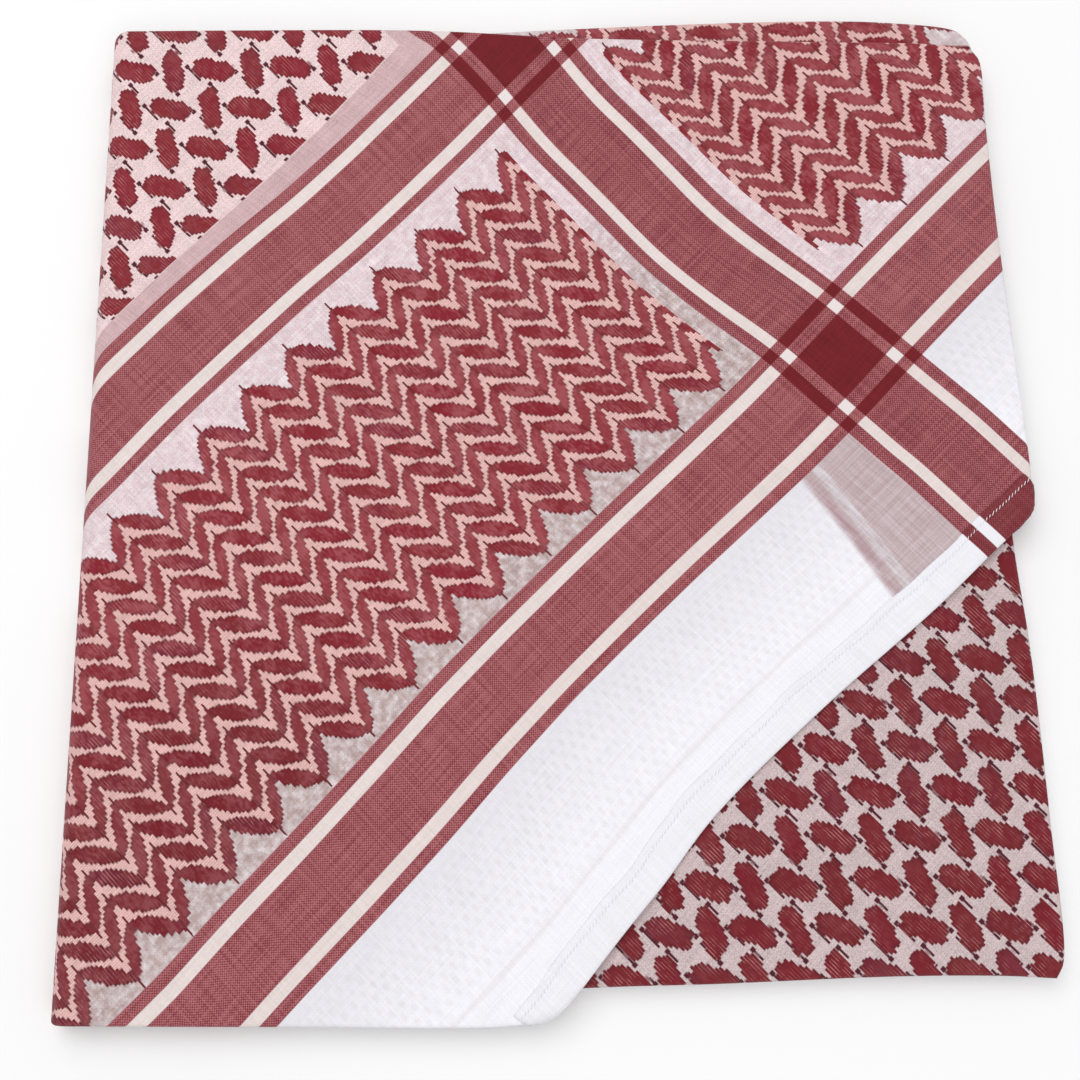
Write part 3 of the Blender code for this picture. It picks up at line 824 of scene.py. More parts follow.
def build_second(material):
    """The second stretch: a patch crowned in the middle and turned under at its back, right and front."""
    back, right, front = (smooth_path(rows, SECOND_STEPS)
                          for rows in (SECOND_BACK, SECOND_RIGHT, SECOND_FRONT))
    plan, _ = open_patch(back, right, front, TURN_RADIUS)
    grid = np.dstack([plan, second_height(plan[..., 0], plan[..., 1], edge_distances(plan))])
    points, faces, flat, area = with_rim(grid, plan, loop_of(back, right, front), 1, TURN_RADIUS, TURN_TUCK)
    weave = straight_weave(flat, skew=SECOND_SKEW)
    return add_piece("second_cloth", points, faces, weave, material, 1, THREAD_WALL), area


def hidden_outline(count):
    """The outline of the hidden layers as one closed anticlockwise line, and its outward normals."""
    back_x, back_y = WRAP_BACK[0] - LAYER_BORE, SECOND_BACK[0][1] - TURN_RADIUS
    front_x, front_y = WRAP_FRONT[0] - LAYER_BORE, SECOND_FRONT[0][1] + TURN_RADIUS
    left = (
        # x, y
        (back_x + 2 * CORNER_ROUND, back_y),
        (back_x + 0.3 * CORNER_ROUND, back_y - 0.3 * CORNER_ROUND),
        (back_x, back_y - 2 * CORNER_ROUND),
        (front_x, front_y + 2 * CORNER_ROUND),
        (front_x + 0.3 * CORNER_ROUND, front_y + 0.3 * CORNER_ROUND),
        (front_x + 2 * CORNER_ROUND, front_y),
    )
    loop = SECOND_BACK[:0:-1] + left + SECOND_FRONT[1:] + SECOND_RIGHT[-2:0:-1]
    outline = smooth_path(loop + loop[:1], count)[:-1]
    closed = np.vstack([outline[-1:], outline, outline[:1]])
    return outline, -outward(closed)[1:-1]


def build_layers(material):
    """The hidden layers: a stack of rounded folds carried round the outline, each a little in or out."""
    outline, normal = hidden_outline(LAYER_STATIONS)
    base = CLOTH_WALL + SEAM_GAP
    top = SECOND_TOP_EDGE - 2 * TURN_RADIUS - SEAM_GAP
    line = wrap_line(outline[:, 1])
    around = np.linspace(0.0, 2 * math.pi, LAYER_STATIONS, endpoint=False)

    steps = np.arange(LAYER_COUNT * LAYER_STEPS + 1)
    layer = np.minimum(steps // LAYER_STEPS, LAYER_COUNT - 1)
    part = (steps - layer * LAYER_STEPS) / LAYER_STEPS
    bulge = np.sin(math.pi * part) ** 0.6
    wave = LAYER_WAVE * np.sin(around[None] * (5 + 2 * layer[:, None] % 7) + 1.7 * layer[:, None])
    slant = LAYER_SLANT * np.sin(around[None] * (3 + layer[:, None] % 3) + 0.9 * layer[:, None])
    inset = LAYER_INSET + LAYER_SLACK + wave + LAYER_BULGE * (1.0 - bulge)[:, None]
    up = (steps / steps[-1])[:, None]
    groove = LAYER_GROOVE * np.sin(around[None] * 9 + layer[:, None]) * np.sin(math.pi * up)
    z = base + (top - base) * up + groove
    ring = outline[None] - normal[None] * (inset + slant * bulge[:, None])[..., None]
    reach = np.sqrt(np.maximum(LAYER_BORE ** 2 - (z - WRAP_RADIUS) ** 2, 0.0))
    ring[..., 0] = np.maximum(ring[..., 0], line[None] - reach)
    side = np.dstack([ring, z])
    out = np.pi * 0.5 * (top - base) / LAYER_COUNT * (part - 0.5)
    side_flat = outline[None] + normal[None] * (out + LAYER_REACH * layer)[:, None, None]

    middle = outline.mean(axis=0)
    shelf = SECOND_TOP_EDGE - CLOTH_WALL - SEAM_GAP
    dome = SECOND_TOP_MIDDLE - RIPPLE_DEPTH - CLOTH_WALL - 2 * SEAM_GAP
    # share of the way in, height
    crown = ((0.030, top), (0.045, shelf), (0.140, shelf), (0.300, dome), (1.000, dome))
    caps = []
    for share, height in crown:
        shrunk = ring[-1] + (middle - ring[-1]) * share
        caps.append(np.column_stack([shrunk, np.full(len(shrunk), height)]))
    floor_ring = np.column_stack([np.tile(middle, (len(outline), 1)), np.full(len(outline), base)])
    grid = np.concatenate([floor_ring[None], side, np.stack(caps)])
    flat = np.concatenate([floor_ring[None, :, :2], side_flat, np.stack(caps)[..., :2]])
    grid = np.concatenate([grid, grid[:, :1]], axis=1)
    flat = np.concatenate([flat, flat[:, :1]], axis=1)
    weave = straight_weave(flat, LAYER_SHIFT)
    return add_piece("folded_layers", grid.reshape(-1, 3), grid_faces(*grid.shape[:2]), weave, material)


def build_underside(material):
    """The stretch on the table: a flat patch with its rims turned up, creased upwards a little."""
    back_y = SECOND_BACK[0][1] - TURN_RADIUS
    front_y = SECOND_FRONT[0][1] + TURN_RADIUS
    start_x = WRAP_TAIL + UNDER_GAP
    back = smooth_path(((wrap_line(back_y) + start_x, back_y),) + SECOND_BACK[1:], UNDER_STEPS)
    right = smooth_path(SECOND_RIGHT, UNDER_STEPS)
    front = smooth_path(((wrap_line(front_y) + start_x, front_y),) + SECOND_FRONT[1:], UNDER_STEPS)
    rim = CLOTH_WALL / 2
    plan, loop_in = open_patch(back, right, front, LAYER_INSET + UNDER_INSET + rim)
    lift = -creases(plan[..., 0], plan[..., 1], UNDER_CREASES)
    grid = np.dstack([plan, np.maximum(lift, 0.0)])
    points, faces, flat, area = with_rim(grid, plan, loop_in + outward(loop_in) * rim, -1, rim, UNDER_TUCK)
    line = wrap_line(flat[:, 1])
    opened = np.column_stack([line - math.pi * WRAP_RADIUS - (flat[:, 0] - line), flat[:, 1]])
    return add_piece("underside_cloth", points, faces, weave_of(opened), material, -1, UNDER_WALL), area


# ---- shader building -----------------------------------------------------------------------------
def joins(operation, swapped=False):
    """A method that joins two values with one math node."""
    def join(self, other):
        return self.net.math(operation, *((other, self) if swapped else (self, other)))
    return join


class Value:
    """A shader value: arithmetic on it adds math nodes to its net."""

    __add__ = joins("ADD")
    __radd__ = joins("ADD", True)
    __sub__ = joins("SUBTRACT")
    __rsub__ = joins("SUBTRACT", True)
    __mul__ = joins("MULTIPLY")
    __truediv__ = joins("DIVIDE")
    low = joins("MINIMUM")
    high = joins("MAXIMUM")

    def __init__(self, net, socket):
        self.net = net
        self.socket = socket

    def __abs__(self):
        return self.of("ABSOLUTE")

    def of(self, operation, *others):
        """One math node with this value first."""
        return self.net.math(operation, self, *others)

    def line(self, slope, start, clamp=False):
        """The value times the slope, plus the start."""
        return self.net.math("MULTIPLY_ADD", self, slope, start, clamp=clamp)

    def ramp(self, slope, start):
        """The same, kept between 0 and 1."""
        return self.line(slope, start, True)

    def above(self, limit, soft):
        """1 over the limit and 0 under it, with a soft edge of that width."""
        return self.net.math("ADD", (self - limit) / soft, 0.5, clamp=True)

    def below(self, limit, soft):
        """1 under the limit and 0 over it, with a soft edge of that width."""
        return self.net.math("ADD", (limit - self) / soft, 0.5, clamp=True)

    def between(self, start, end, soft):
        """1 between start and end, with soft edges."""
        return self.below(end, soft) * self.above(start, soft)


class Net:
    """Adds nodes to one tree and joins them; what it is fed are numbers, colours, sockets or values."""

    def __init__(self, tree):
        self.tree = tree
        self.end = None

    def node(self, kind, **settings):
        made = self.tree.nodes.new("ShaderNode" + kind)
        for key, value in settings.items():
            setattr(made, key, value)
        return made

    def feed(self, socket, value):
        value = getattr(value, "socket", value)
        if isinstance(value, bpy.types.NodeSocket):
            self.tree.links.new(value, socket)
        else:
            socket.default_value = value

    def fed(self, made, *values):
        """Feed a node's first inputs in order; gives its first output."""
        for socket, value in zip(made.inputs, values):
            self.feed(socket, value)
        return Value(self, made.outputs[0])

    def math(self, operation, *values, clamp=False):
        return self.fed(self.node("Math", operation=operation, use_clamp=clamp), *values)

    def place(self, x, y, z):
        return self.fed(self.node("CombineXYZ"), x, y, z)

    def noise(self, x, y, seed, detail=1.0):
        """Smooth noise of about 0 to 1 with features one unit wide."""
        made = self.node("TexNoise", noise_dimensions="3D")
        made.inputs["Scale"].default_value = 1.0
        made.inputs["Detail"].default_value = detail
        return self.fed(made, self.place(x, y, seed))

    def chance(self, x, y, seed):
        """An even random value of 0 to 1 for each whole pair of numbers."""
        return self.fed(self.node("TexWhiteNoise", noise_dimensions="3D"), self.place(x, y, seed))

    def blend(self, share, first, second):
        """The first colour, and the second one over it by its share."""
        made = self.node("Mix", data_type="RGBA")
        for index, value in ((0, share), (6, first), (7, second)):
            self.feed(made.inputs[index], value)
        return Value(self, made.outputs[2])

    def scaled(self, colour, factor):
        """A colour times a number."""
        made = self.node("VectorMath", operation="SCALE")
        self.feed(made.inputs["Scale"], factor)
        return self.fed(made, colour[:3] if isinstance(colour, tuple) else colour)

    def give(self, **values):
        """Feed the group's outputs by name; gives the finished group."""
        for label, value in values.items():
            self.feed(self.end.inputs[label.replace("_", " ")], value)
        return self.tree


def new_group(name, inputs, outputs):
    """An empty shader group with the named sockets; gives its net, and its inputs as values by name."""
    group = bpy.data.node_groups.new(name, "ShaderNodeTree")
    for label, default in inputs:
        socket = group.interface.new_socket(name=label, in_out="INPUT", socket_type="NodeSocketFloat")
        socket.default_value = default
    for label in outputs:
        kind = "NodeSocketColor" if label == "Color" else "NodeSocketFloat"
        group.interface.new_socket(name=label, in_out="OUTPUT", socket_type=kind)
    net = Net(group)
    start = group.nodes.new("NodeGroupInput")
    net.end = group.nodes.new("NodeGroupOutput")
    return net, {label: Value(net, start.outputs[label]) for label, _ in inputs}


def use(net, group, **inputs):
    """Add a group to the net with its inputs fed by name; gives its outputs by name."""
    made = net.node("Group")
    made.node_tree = group
    for label, value in inputs.items():
        net.feed(made.inputs[label.replace("_", " ")], value)
    return {output.name: Value(net, output) for output in made.outputs}


PLACE_INPUTS = (("Along", 0.0), ("Across", 0.0))
LATTICE_INPUTS = (("Start Along", 223.1), ("Start Across", 11.2),
                  ("Pitch Along", 22.2), ("Pitch Across", 22.25))
FIGURED_OUTPUTS = ("Float", "Tick", "Streak", "Hue", "Worn", "Shade", "End Shadow", "Between", "Height")


def band_group(name, stripes):
    """One set of stripes: red and white masks of the distance from its middle."""
    net, given = new_group(name, (("Distance", 0.0),), ("Red", "White"))
    distance = abs(given["Distance"])
    masks = [0.0, 0.0]
    for start, end, is_red in stripes:
        first = start if start else -1.0
        masks[is_red] = masks[is_red] + distance.between(first, end, 0.3)
    return net.give(Red=masks[1], White=masks[0])


def thread_group():
    """Plain weave: which thread lies on top, streaks along both sets of threads, and the height."""
    net, given = new_group("plain weave", PLACE_INPUTS, ("Top", "Streak Along", "Streak Across", "Height"))
    along = given["Along"]
    across = given["Across"]
    wander = net.noise(along * 0.11, across * 0.11, 3.0) - 0.5
    turn = math.pi / THREAD_PITCH
    checks = ((along + wander * 0.9) * turn).of("SINE") * ((across + wander * 0.7) * turn).of("SINE")
    streak_across = net.noise(along * 1.25, across * 0.045, 1.0, 2.0)
    streak_along = net.noise(along * 0.045, across * 1.25, 7.0, 2.0)
    return net.give(Top=checks.ramp(0.9, 0.5), Streak_Along=streak_along.ramp(2.6, -0.8),
                    Streak_Across=streak_across.ramp(2.6, -0.8), Height=checks)


def worn_share(net, along, across, seed):
    """How worn the floats look: soft mottling, drawn out along the floats."""
    fine = net.noise(along * 0.42, across * 0.85, seed, 2.0)
    broad = net.noise(along * 0.11, across * 0.13, seed + 4.0)
    return (fine + broad).ramp(3.0, -2.75)


def float_columns(across):
    """The column of floats at a place, how far the place is from its middle in columns, and that middle."""
    cell = across / FLOAT_PITCH
    column = cell.of("FLOOR")
    return column, abs(cell - column - 0.5), (column + 0.5) * FLOAT_PITCH


def loose_threads(net, along, column, in_column, start, loose):
    """Pale dashes between the columns of floats, where a noise drawn out along them is over its start."""
    dashes = net.noise(along * 0.28, column * 3.7, 6.0)
    return in_column.of("GREATER_THAN", 0.37) * dashes.above(start, 0.08) * loose


def nearest(place, pitch):
    """The number of the nearest of evenly spaced marks, and the place counted from that mark."""
    number = (place / pitch).of("ROUND")
    return number, place - number * pitch


def herringbone_group():
    """Rows of zigzag leaves made of floats: in each column of floats the leaf is centred on a zigzag."""
    net, given = new_group("herringbone", PLACE_INPUTS, FIGURED_OUTPUTS)
    along = given["Along"]
    across = given["Across"]
    column, in_column, middle = float_columns(across)

    periods = (middle - HERRING_VALLEY) / HERRING_PERIOD
    share = periods.of("FRACT")
    zigzag = (share / HERRING_RISE).low((1.0 - share) / (1.0 - HERRING_RISE))
    above = along - zigzag.line(HERRING_SWING, HERRING_LOW)
    row = (above / HERRING_ROW).of("ROUND").high(0.0).low(HERRING_ROWS - 1.0)
    offset = above - row * HERRING_ROW
    distance = abs(offset)
    edge_side = offset.of("SIGN")
    upper = offset.of("GREATER_THAN", 0.0)
    to_tip = upper * (1.0 - zigzag) + (1.0 - upper) * zigzag
    jitter = net.chance(column, row * 2.0 + edge_side, 5.0) - 0.5
    alternate = column.of("PINGPONG", 1.0) - 0.5
    bulge = (zigzag * math.pi).of("SINE") * HERRING_BULGE
    thick = bulge + HERRING_THICK - to_tip.of("POWER", 5.0) * HERRING_NOTCH
    thick = thick + (jitter * 0.85 + alternate * 0.45)
    float_mask = distance.below(thick, 0.16)

    periods_here = (across - HERRING_VALLEY) / HERRING_PERIOD
    valley = periods_here.of("ROUND")
    to_valley = abs(periods_here - valley) * HERRING_PERIOD
    from_peak = periods_here - HERRING_RISE
    to_peak = abs(from_peak - from_peak.of("ROUND")) * HERRING_PERIOD
    reach = thick + net.chance(valley, row, 2.0).line(1.2, TICK_LENGTH - 0.6)
    upward = to_peak.below(TICK_HALF, 0.2) * offset.between(0.0, reach, 0.3)
    downward = to_valley.below(TICK_HALF, 0.2) * (offset * -1.0).between(0.0, reach, 0.3)
    tick = upward.high(downward) * (1.0 - distance.below(thick - 0.5, 0.3))

    leaf = periods.of("FLOOR") * 2.0 + share.of("GREATER_THAN", HERRING_RISE)
    leaf_hue = net.chance(leaf, row, 1.0)
    column_hue = net.chance(column, (along * 0.3).of("FLOOR"), 4.0)
    broad_hue = net.noise(along * 0.05, across * 0.05, 8.0, 2.0)
    upright = share.of("LESS_THAN", HERRING_RISE)
    shadowed = net.chance(column, row + edge_side, 14.0).of("GREATER_THAN", 0.35)
    return net.give(
        Float=float_mask,
        Tick=tick,
        Streak=loose_threads(net, along, column, in_column, 0.54, leaf_hue.ramp(1.4, -0.45)) * 0.5,
        Hue=leaf_hue * 0.45 + (column_hue * 0.18 + broad_hue * 0.42),
        Worn=upright.ramp(0.40, worn_share(net, along, across, 31.0)),
        Shade=(thick - distance).below(0.75, 0.9).high(to_valley.low(to_peak).below(0.7, 1.2)),
        End_Shadow=(distance - thick).between(-0.1, 0.42, 0.2) * shadowed,
        Between=above.between(-1.0, (HERRING_ROWS - 1) * HERRING_ROW + 1.0, 0.8),
        Height=(in_column * math.pi).of("COSINE") * float_mask)


def fishnet_group():
    """Two kinds of slanted oval figures made of floats on a lattice, with thin links between them.

    A figure fills the places where its two distances from the centre, over its half sizes and raised to
    a power, add up to less than 1.
    """
    inputs = PLACE_INPUTS + LATTICE_INPUTS + (("Field Start", FISHNET_FIELD), ("More Lean", 0.0))
    net, given = new_group("fishnet", inputs, FIGURED_OUTPUTS)
    along = given["Along"] - given["Start Along"]
    across = given["Across"] - given["Start Across"]
    pitch_along = given["Pitch Along"]
    pitch_across = given["Pitch Across"]
    field = given["Field Start"] - given["Start Along"]
    column, in_column, middle = float_columns(across)

    floats = inner = hue = links = 0.0
    for lean, half_length, half_width, moved in FISHNET_FIGURES:
        angle = given["More Lean"].line(math.copysign(1.0, lean), lean)
        cosine = angle.of("COSINE")
        sine = angle.of("SINE")
        figure_across, off_across = nearest(middle - pitch_across * moved, pitch_across)
        slid = off_across * angle.of("TANGENT")
        figure_along, off_along = nearest(along - pitch_along * moved - slid, pitch_along)
        centre = figure_along * pitch_along + pitch_along * moved
        off_along = off_along + slid
        lengthwise = abs(off_along * cosine + off_across * sine)
        crosswise = abs(off_across * cosine - off_along * sine)
        waist = (lengthwise * lengthwise * -0.35).of("EXPONENT")
        crosswise = crosswise + waist * FISHNET_WAIST
        jitter = net.chance(column, figure_along + moved + off_along.of("SIGN"), 9.0) - 0.5
        fill = ((lengthwise / half_length).of("POWER", FISHNET_SQUARE)
                + (crosswise / half_width).of("POWER", FISHNET_SQUARE))
        depth = (jitter.line(0.50, 1.0) - fill) * 1.2
        inside = depth.above(0.0, 0.18) * centre.above(field, 0.5) * along.above(field + FISHNET_CUT, 0.3)
        floats = net.math("MAXIMUM", floats, inside)
        inner = net.math("MAXIMUM", inner, depth.above(0.45, 0.5) * inside)
        hue = hue + net.chance(figure_across, figure_along + moved, 2.0) * inside

    for moved, at_across, start, end, knot_at in FISHNET_LINKS:
        halfway = (start + end) / 2
        off_across = abs(nearest(across - pitch_across * moved - at_across, pitch_across)[1])
        figure_along, off_along = nearest(along - pitch_along * moved - halfway, pitch_along)
        centre = figure_along * pitch_along + pitch_along * moved
        from_knot = abs(off_along - (knot_at - halfway))
        knot = off_across.below(KNOT_HALF, 0.35) * from_knot.below(KNOT_HALF, 0.35)
        link = off_across.below(LINK_HALF, 0.2) * abs(off_along).below((end - start) / 2, 0.3)
        links = net.math("MAXIMUM", links, knot.high(link) * centre.above(field, 0.5))

    loose = net.noise(along * 0.09, across * 0.09, 15.0).ramp(3.0, -1.0)
    column_hue = net.chance(column, (along * 0.3).of("FLOOR"), 4.0)
    broad_hue = net.noise(along * 0.06, across * 0.06, 8.0, 2.0)
    return net.give(
        Float=floats,
        Tick=links * (1.0 - floats),
        Streak=loose_threads(net, along, column, in_column, 0.52, loose) * 0.55,
        Hue=hue * 0.4 + (column_hue * 0.2 + broad_hue * 0.4),
        Worn=worn_share(net, along, across, 51.0) * 0.3,
        Shade=1.0 - inner,
        Height=(in_column * math.pi).of("COSINE") * floats)


def border_cloth(net, along, across, ghost, threads):
    """The plain border, and over it the shadow of the cloth beneath that shows through past a slanting edge.

    Gives the colour and the share of the shadow.
    """
    into = across - (along + GHOST_AT).line(GHOST_SLOPE, GHOST_EDGE)
    shadow = into.above(0.0, 3.0) * across.below(CROSS_BAND, 1.0) * ghost
    patchy = net.noise(along * 0.10, across * 0.5, 21.0, 2.0).ramp(2.6, -0.75)
    fading = threads["Streak Along"].line(-0.14, 0.96) * threads["Streak Across"].line(-0.12, 1.0)
    dot_along = (along * (2 * math.pi / DOT_PITCH[0])).of("SINE")
    dot_across = (across * (2 * math.pi / DOT_PITCH[1])).of("SINE")
    dots = ((dot_along * dot_across).above(0.35, 0.5) * net.noise(along * 0.05, across * 0.05, 12.0)
            * along.between(*DOT_FIELD, 8.0) * ghost)
    colour = net.blend(along.ramp(-0.025, -1.45), COLOURS["border"], COLOURS["border_edge"])
    for share, tint in (
            # painted shade: a faint darker line beside the hem
            (along.between(*HEM_SHADE_LINE, 1.0) * ghost * 0.13, "ghost"),
            (shadow * fading, "ghost"),
            (into.between(*GHOST_DARK, 1.3) * ghost * (patchy * 0.75), "ghost_dark"),
            (into.between(*GHOST_PALE, 1.3) * ghost * patchy * 0.75, "border"),
            (dots * 0.16, "ghost_dark")):
        colour = net.blend(share, colour, COLOURS[tint])
    return colour, shadow


def cloth_group(band, cross, thread, herringbone, fishnet):
    """The whole cloth: stripes and borders, the figured fields between them, and the bare weave."""
    inputs = PLACE_INPUTS + LATTICE_INPUTS + (
        ("Plain Fishnet", 0.0), ("Ghost", 0.0), ("Doubled", 0.0), ("Herringbone", 1.0), ("Fishnet", 1.0))
    net, given = new_group("keffiyeh cloth", inputs, ("Color", "Height"))
    along = given["Along"] * 1000.0
    across = given["Across"] * 1000.0
    only_fishnet = given["Plain Fishnet"]
    striped = 1.0 - only_fishnet

    # Where each stripe and each field lies.
    border_band = use(net, band, Distance=along - BORDER_BAND)
    inner_band = use(net, band, Distance=along - INNER_BAND)
    cross_band = use(net, cross, Distance=across - CROSS_BAND)
    weft_red, weft_white = ((border_band[tint] + inner_band[tint]) * striped for tint in ("Red", "White"))
    warp_red, warp_white = (cross_band[tint] * striped for tint in ("Red", "White"))
    from_cross = abs(across - CROSS_BAND)
    clear = from_cross.above(BAND_HALF + CROSS_GAP, 0.2).high(only_fishnet)
    herring_across = (CROSS_BAND - from_cross).low(across) * striped + across * only_fishnet
    back = ((along + across) * ROOT_HALF).above(BACK_STRIP, 1.0) * only_fishnet
    herring_field = along.between(BORDER_BAND + BAND_HALF, INNER_BAND - BAND_HALF, 0.2) * clear * striped
    herring_field = (herring_field + back) * given["Herringbone"]
    fishnet_field = along.above(INNER_BAND + BAND_HALF + FIELD_GAP, 0.5).high(only_fishnet)
    fishnet_field = fishnet_field * clear * (1.0 - back) * given["Fishnet"]
    in_border = along.below(BORDER_BAND, 1.0) * striped

    threads = use(net, thread, Along=along, Across=across)
    herring = use(net, herringbone, Along=along - only_fishnet * BACK_SHIFT, Across=herring_across)
    figures = use(net, fishnet, Along=along, Across=across, More_Lean=striped * FIELD_LEAN,
                  Field_Start=FISHNET_FIELD - only_fishnet * FIELD_AWAY,
                  **{label.replace(" ", "_"): given[label] for label, _ in LATTICE_INPUTS})
    between = herring["Between"] * herring_field

    # The bare weave.
    dim_gap = along.below(45.0, 50.0) * across.below(CROSS_BAND, 1.0)
    ground = net.blend(dim_gap, COLOURS["ground_high"], COLOURS["ground_low"])
    border, shadow = border_cloth(net, along, across, given["Ghost"], threads)
    for share, laid in (
            (along.above(INNER_BAND, 1.0), COLOURS["ground_outer"]),
            (fishnet_field, COLOURS["ground_net"]),
            (only_fishnet, COLOURS["ground_lower"]),
            (between, COLOURS["ground"]),
            (in_border, border)):
        ground = net.blend(share, ground, laid)
    gap_line = (along * (2 * math.pi / GAP_PITCH)).of("COSINE").ramp(1.4, -0.45)
    gap_line = gap_line * threads["Streak Along"] * between.high(fishnet_field * 0.35)
    ground = net.blend(gap_line * 0.85, ground, COLOURS["thread_gap"])
    blotchy = (1.0 - between.high(fishnet_field)) * along.below(INNER_BAND, 1.0) * 0.7
    mottle = net.noise(along * 0.34, across * 0.34, 47.0, 2.0).ramp(2.6, -1.0)
    ground = net.blend(mottle * blotchy * (1.0 - in_border), ground, COLOURS["ground_white"])

    speck = net.noise(along * 1.5, across * 1.5, 41.0, 2.0) - 0.5
    cloudy = net.noise(along * 0.16, across * 0.16, 43.0, 2.0) - 0.5
    speck = speck * fishnet_field.line(0.45, 0.5) + cloudy * 0.28
    thread_tone = (threads["Streak Along"] - 0.5) * 0.16 + (threads["Streak Across"] - 0.5) * 0.16
    thread_tone = thread_tone + speck * in_border.line(-0.4, 1.0)
    quiet = (in_border - shadow * 0.5).line(-0.62, 1.0)
    ground = net.scaled(ground, 1.0 + ((threads["Top"] - 0.5).line(0.10, 0.0) + thread_tone) * quiet)

    # The stripes.
    weft_top = threads["Top"] + (threads["Streak Across"] - 0.5) * 0.55
    weft_top = weft_top + (threads["Streak Along"] - 0.5) * 0.55
    dark = weft_top * weft_red + (1.0 - weft_top + 0.14) * (warp_red * (1.0 - weft_red))
    dark = net.math("ADD", dark, 0.0, clamp=True)
    single = net.blend(dark, COLOURS["single_light"], COLOURS["single_dark"])
    single = net.blend(given["Doubled"] * 0.6, single, COLOURS["double_red"])
    white = net.scaled(COLOURS["white_stripe"], thread_tone.line(0.5, 1.0))
    white = net.blend(given["Doubled"], white, COLOURS["border_edge"])
    colour = ground
    for share, laid in (
            (net.math("ADD", weft_white, warp_white, clamp=True), white),
            (weft_white * warp_white, COLOURS["double_white"]),
            (net.math("ADD", weft_red, warp_red, clamp=True), single),
            (weft_red * warp_red, net.scaled(COLOURS["double_red"], thread_tone.line(1.2, 1.0)))):
        colour = net.blend(share, colour, laid)

    # The figured weaves: floats, the short shadows at their ends, and ticks or links.
    # painted shade: the figured reds darken towards the front left corner, where the light falls off
    painted_shade_corner = along.below(52.0, 60.0) * across.below(-110.0, 60.0)
    for drawn, field, tick in ((herring, herring_field, COLOURS["tick"]),
                               (figures, fishnet_field, COLOURS["link"])):
        red = net.blend(drawn["Hue"].ramp(2.4, -0.6), COLOURS["crimson"], COLOURS["brown"])
        red = net.blend(drawn["Hue"].ramp(3.0, -1.75), red, COLOURS["purple"])
        red = net.blend(drawn["Worn"] * 0.75, red, COLOURS["worn"])
        red = net.scaled(red, drawn["Shade"].line(-0.24, 1.0))
        red = net.scaled(red, (only_fishnet - back).line(-0.22, 1.0))
        # painted shade towards the front left corner
        red = net.scaled(red, (painted_shade_corner * striped).line(-0.24, 1.0))
        red = net.blend(drawn["Streak"] * 0.8, red, COLOURS["streak"])
        colour = net.blend(drawn["End Shadow"] * field * 0.5, colour, tick)
        colour = net.blend(drawn["Float"] * field, colour, red)
        colour = net.blend(drawn["Tick"] * field, colour, tick)
    height = herring["Height"] * herring_field + figures["Height"] * fishnet_field
    return net.give(Color=colour, Height=height + threads["Height"] * 0.22)


def new_material(name, **values):
    """A material with the shader's plain values set by name; gives it, its net and its shader."""
    material = bpy.data.materials.new(name)
    material.use_nodes = True
    shader = material.node_tree.nodes["Principled BSDF"]
    for label, value in values.items():
        shader.inputs[label.replace("_", " ")].default_value = value
    return material, Net(material.node_tree), shader


def cloth_material(name, group, settings, tint=1.0):
    """Cotton in the cloth's weave: the group's colour and height on a rough surface with a soft nap."""
    material, net, shader = new_material(name, Roughness=0.88, Sheen_Weight=0.12, Sheen_Roughness=0.5,
                                         Specular_IOR_Level=0.25)
    split = net.node("SeparateXYZ")
    net.feed(split.inputs[0], net.node("UVMap", uv_map="weave").outputs[0])
    woven = use(net, group, Along=split.outputs[0], Across=split.outputs[1], **settings)
    net.feed(shader.inputs["Base Color"], woven["Color"] if tint == 1.0 else net.scaled(woven["Color"], tint))
    bump = net.node("Bump")
    bump.inputs["Strength"].default_value = 0.45
    bump.inputs["Distance"].default_value = 0.00016
    net.feed(bump.inputs["Height"], woven["Height"])
    net.feed(shader.inputs["Normal"], bump.outputs[0])
    return material


def stitch_material():
    """White sewing thread with a fine twist."""
    material, net, shader = new_material("stitch_thread", Roughness=0.7, Sheen_Weight=0.1)
    wave = net.node("TexWave", wave_type="BANDS")
    wave.inputs["Scale"].default_value = 900.0
    net.feed(wave.inputs["Vector"], net.node("TexCoord").outputs["Object"])
    colour = net.blend(wave.outputs[1], srgb(226, 222, 228), srgb(246, 244, 248))
    net.feed(shader.inputs["Base Color"], colour)
    return material


# ---- scene ---------------------------------------------------------------------------------------
camera_data = bpy.data.cameras.new("camera")
camera_data.lens = 43.883
camera_data.sensor_width = 36.0
camera_data.clip_start = 0.01
camera = bpy.data.objects.new("camera", camera_data)
camera.location = (-0.0049, -0.1256, 0.471)
camera.rotation_euler = (math.radians(12.64), 0.0, 0.0)
bpy.context.scene.collection.objects.link(camera)
bpy.context.scene.camera = camera
bpy.context.scene.view_settings.view_transform = "Standard"

weave = cloth_group(band_group("stripe set", STRIPES), band_group("cross stripe set", CROSS_STRIPES),
                    thread_group(), herringbone_group(), fishnet_group())
# Where a stretch has no herringbone or no fishnet, its material leaves that weave out.
flap_border = cloth_material("flap_border", weave, {"Ghost": 1.0, "Herringbone": 0.0, "Fishnet": 0.0})
flap_zone = cloth_material("flap_zone", weave, {"Ghost": 1.0, "Fishnet": 0.0})
flap_field = cloth_material("flap_field", weave, {"Ghost": 1.0, "Herringbone": 0.0})
hem_cotton = cloth_material("hem_cotton", weave, {"Doubled": 1.0, "Herringbone": 0.0, "Fishnet": 0.0}, 0.96)
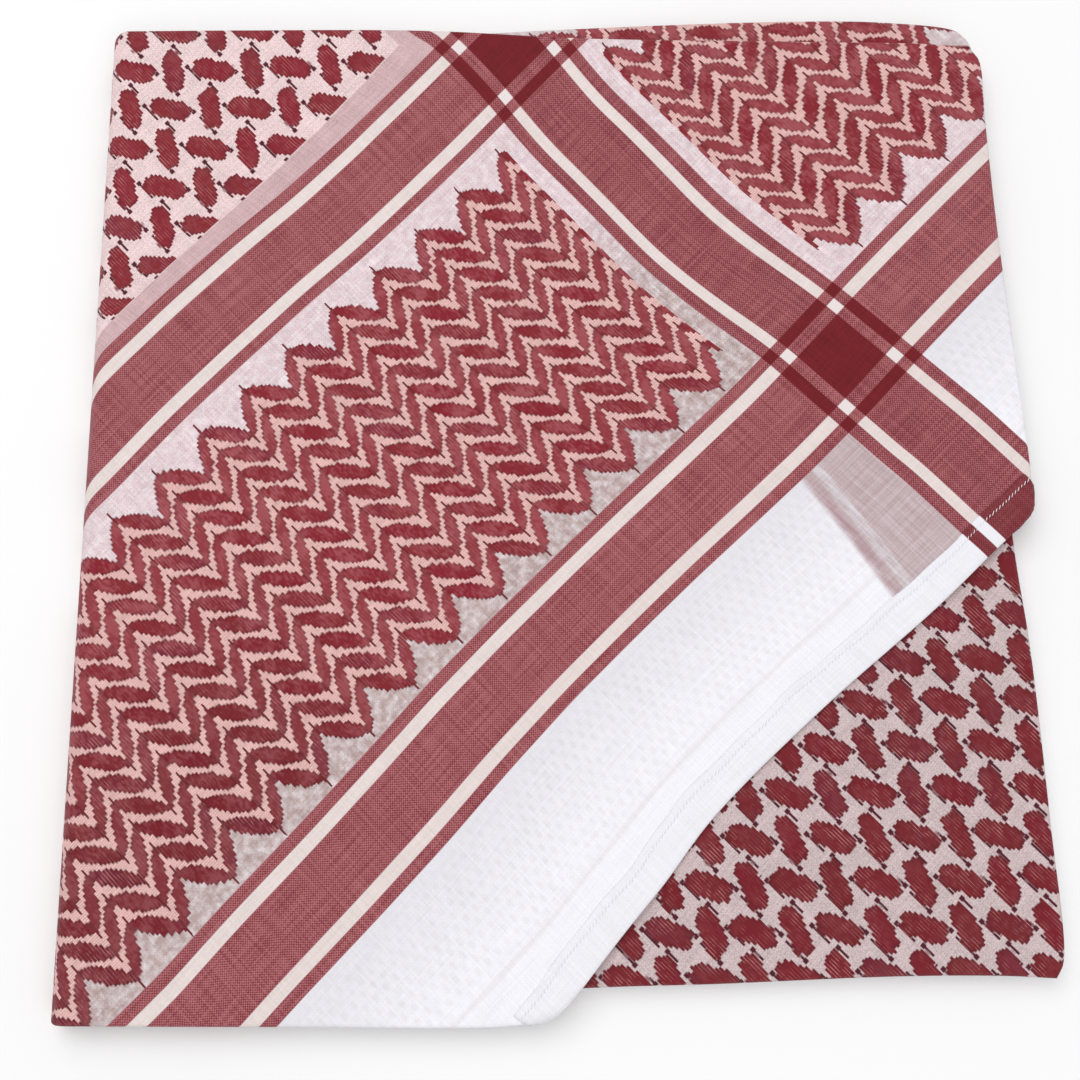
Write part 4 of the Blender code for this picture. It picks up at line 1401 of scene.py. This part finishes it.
# in metres: where the materials change, well clear of the weaves that they leave out
ZONE_START = -0.030
ZONE_END = 0.145
STRIP_START = 0.160
LOWER_LATTICE = {"Plain_Fishnet": 1.0, "Start_Along": -165.9, "Start_Across": 8.7, "Pitch_Along": 20.8,
                 "Pitch_Across": 20.7}
second_field = cloth_material("second_field", weave, {"Herringbone": 0.0, **LOWER_LATTICE})
second_strip = cloth_material("second_strip", weave, LOWER_LATTICE)
layer_cotton = cloth_material("layer_cotton", weave, {})
under_cotton = cloth_material("under_cotton", weave, {})

flap, flap_area = build_flap(flap_border)
wear_by_weave(flap, (1.0, 0.0), ((flap_zone, ZONE_START), (flap_field, ZONE_END)))
hem = build_hem(hem_cotton)
stitches = build_stitches(stitch_material())
second, second_area = build_second(second_field)
wear_by_weave(second, (ROOT_HALF, ROOT_HALF), ((second_strip, STRIP_START),))
layers = build_layers(layer_cotton)
underside, underside_area = build_underside(under_cotton)

for piece, node, cotton in (
        # piece, the solid it replaces, colour slot
        (flap, "top_flap", "striped_cotton"),
        (hem, "hem", "white_cotton"),
        (stitches, None, "white_cotton"),
        (second, "second_layer", "fishnet_cotton"),
        (layers, "folded_core", "striped_cotton"),
        (underside, "underside", "fishnet_cotton")):
    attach(piece, "root")
    if node:
        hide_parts(node)

floor_mesh = bpy.data.meshes.new("floor")
corners = [(x, y, FLOOR_Z) for x, y in ((-3, -3), (3, -3), (3, 3), (-3, 3))]
floor_mesh.from_pydata(corners, [], [(0, 1, 2, 3)])
floor_paper, _, _ = new_material("floor_paper", Base_Color=srgb(251, 251, 251), Roughness=0.95,
                                 Specular_IOR_Level=0.1)
floor_mesh.materials.append(floor_paper)
floor = bpy.data.objects.new("floor", floor_mesh)
bpy.context.scene.collection.objects.link(floor)

world = bpy.data.worlds.new("studio")
world.use_nodes = True
world.node_tree.nodes["Background"].inputs["Color"].default_value = (1.0, 1.0, 1.0, 1.0)
world.node_tree.nodes["Background"].inputs["Strength"].default_value = 0.55
bpy.context.scene.world = world

LIGHTS = (
    # name, place, size, power
    ("overhead", (-0.35, 0.45, 1.5), 1.4, 13.0),
    ("front_fill", (0.5, -0.9, 1.2), 1.2, 4.0),
)
for name, place, size, power in LIGHTS:
    light_data = bpy.data.lights.new(name, "AREA")
    light_data.size = size
    light_data.energy = power
    light = bpy.data.objects.new(name, light_data)
    light.location = place
    aim = -np.array(place)
    light.rotation_euler = (math.atan2(math.hypot(aim[0], aim[1]), -aim[2]), 0.0,
                            math.atan2(aim[1], aim[0]) - math.pi / 2)
    bpy.context.scene.collection.objects.link(light)
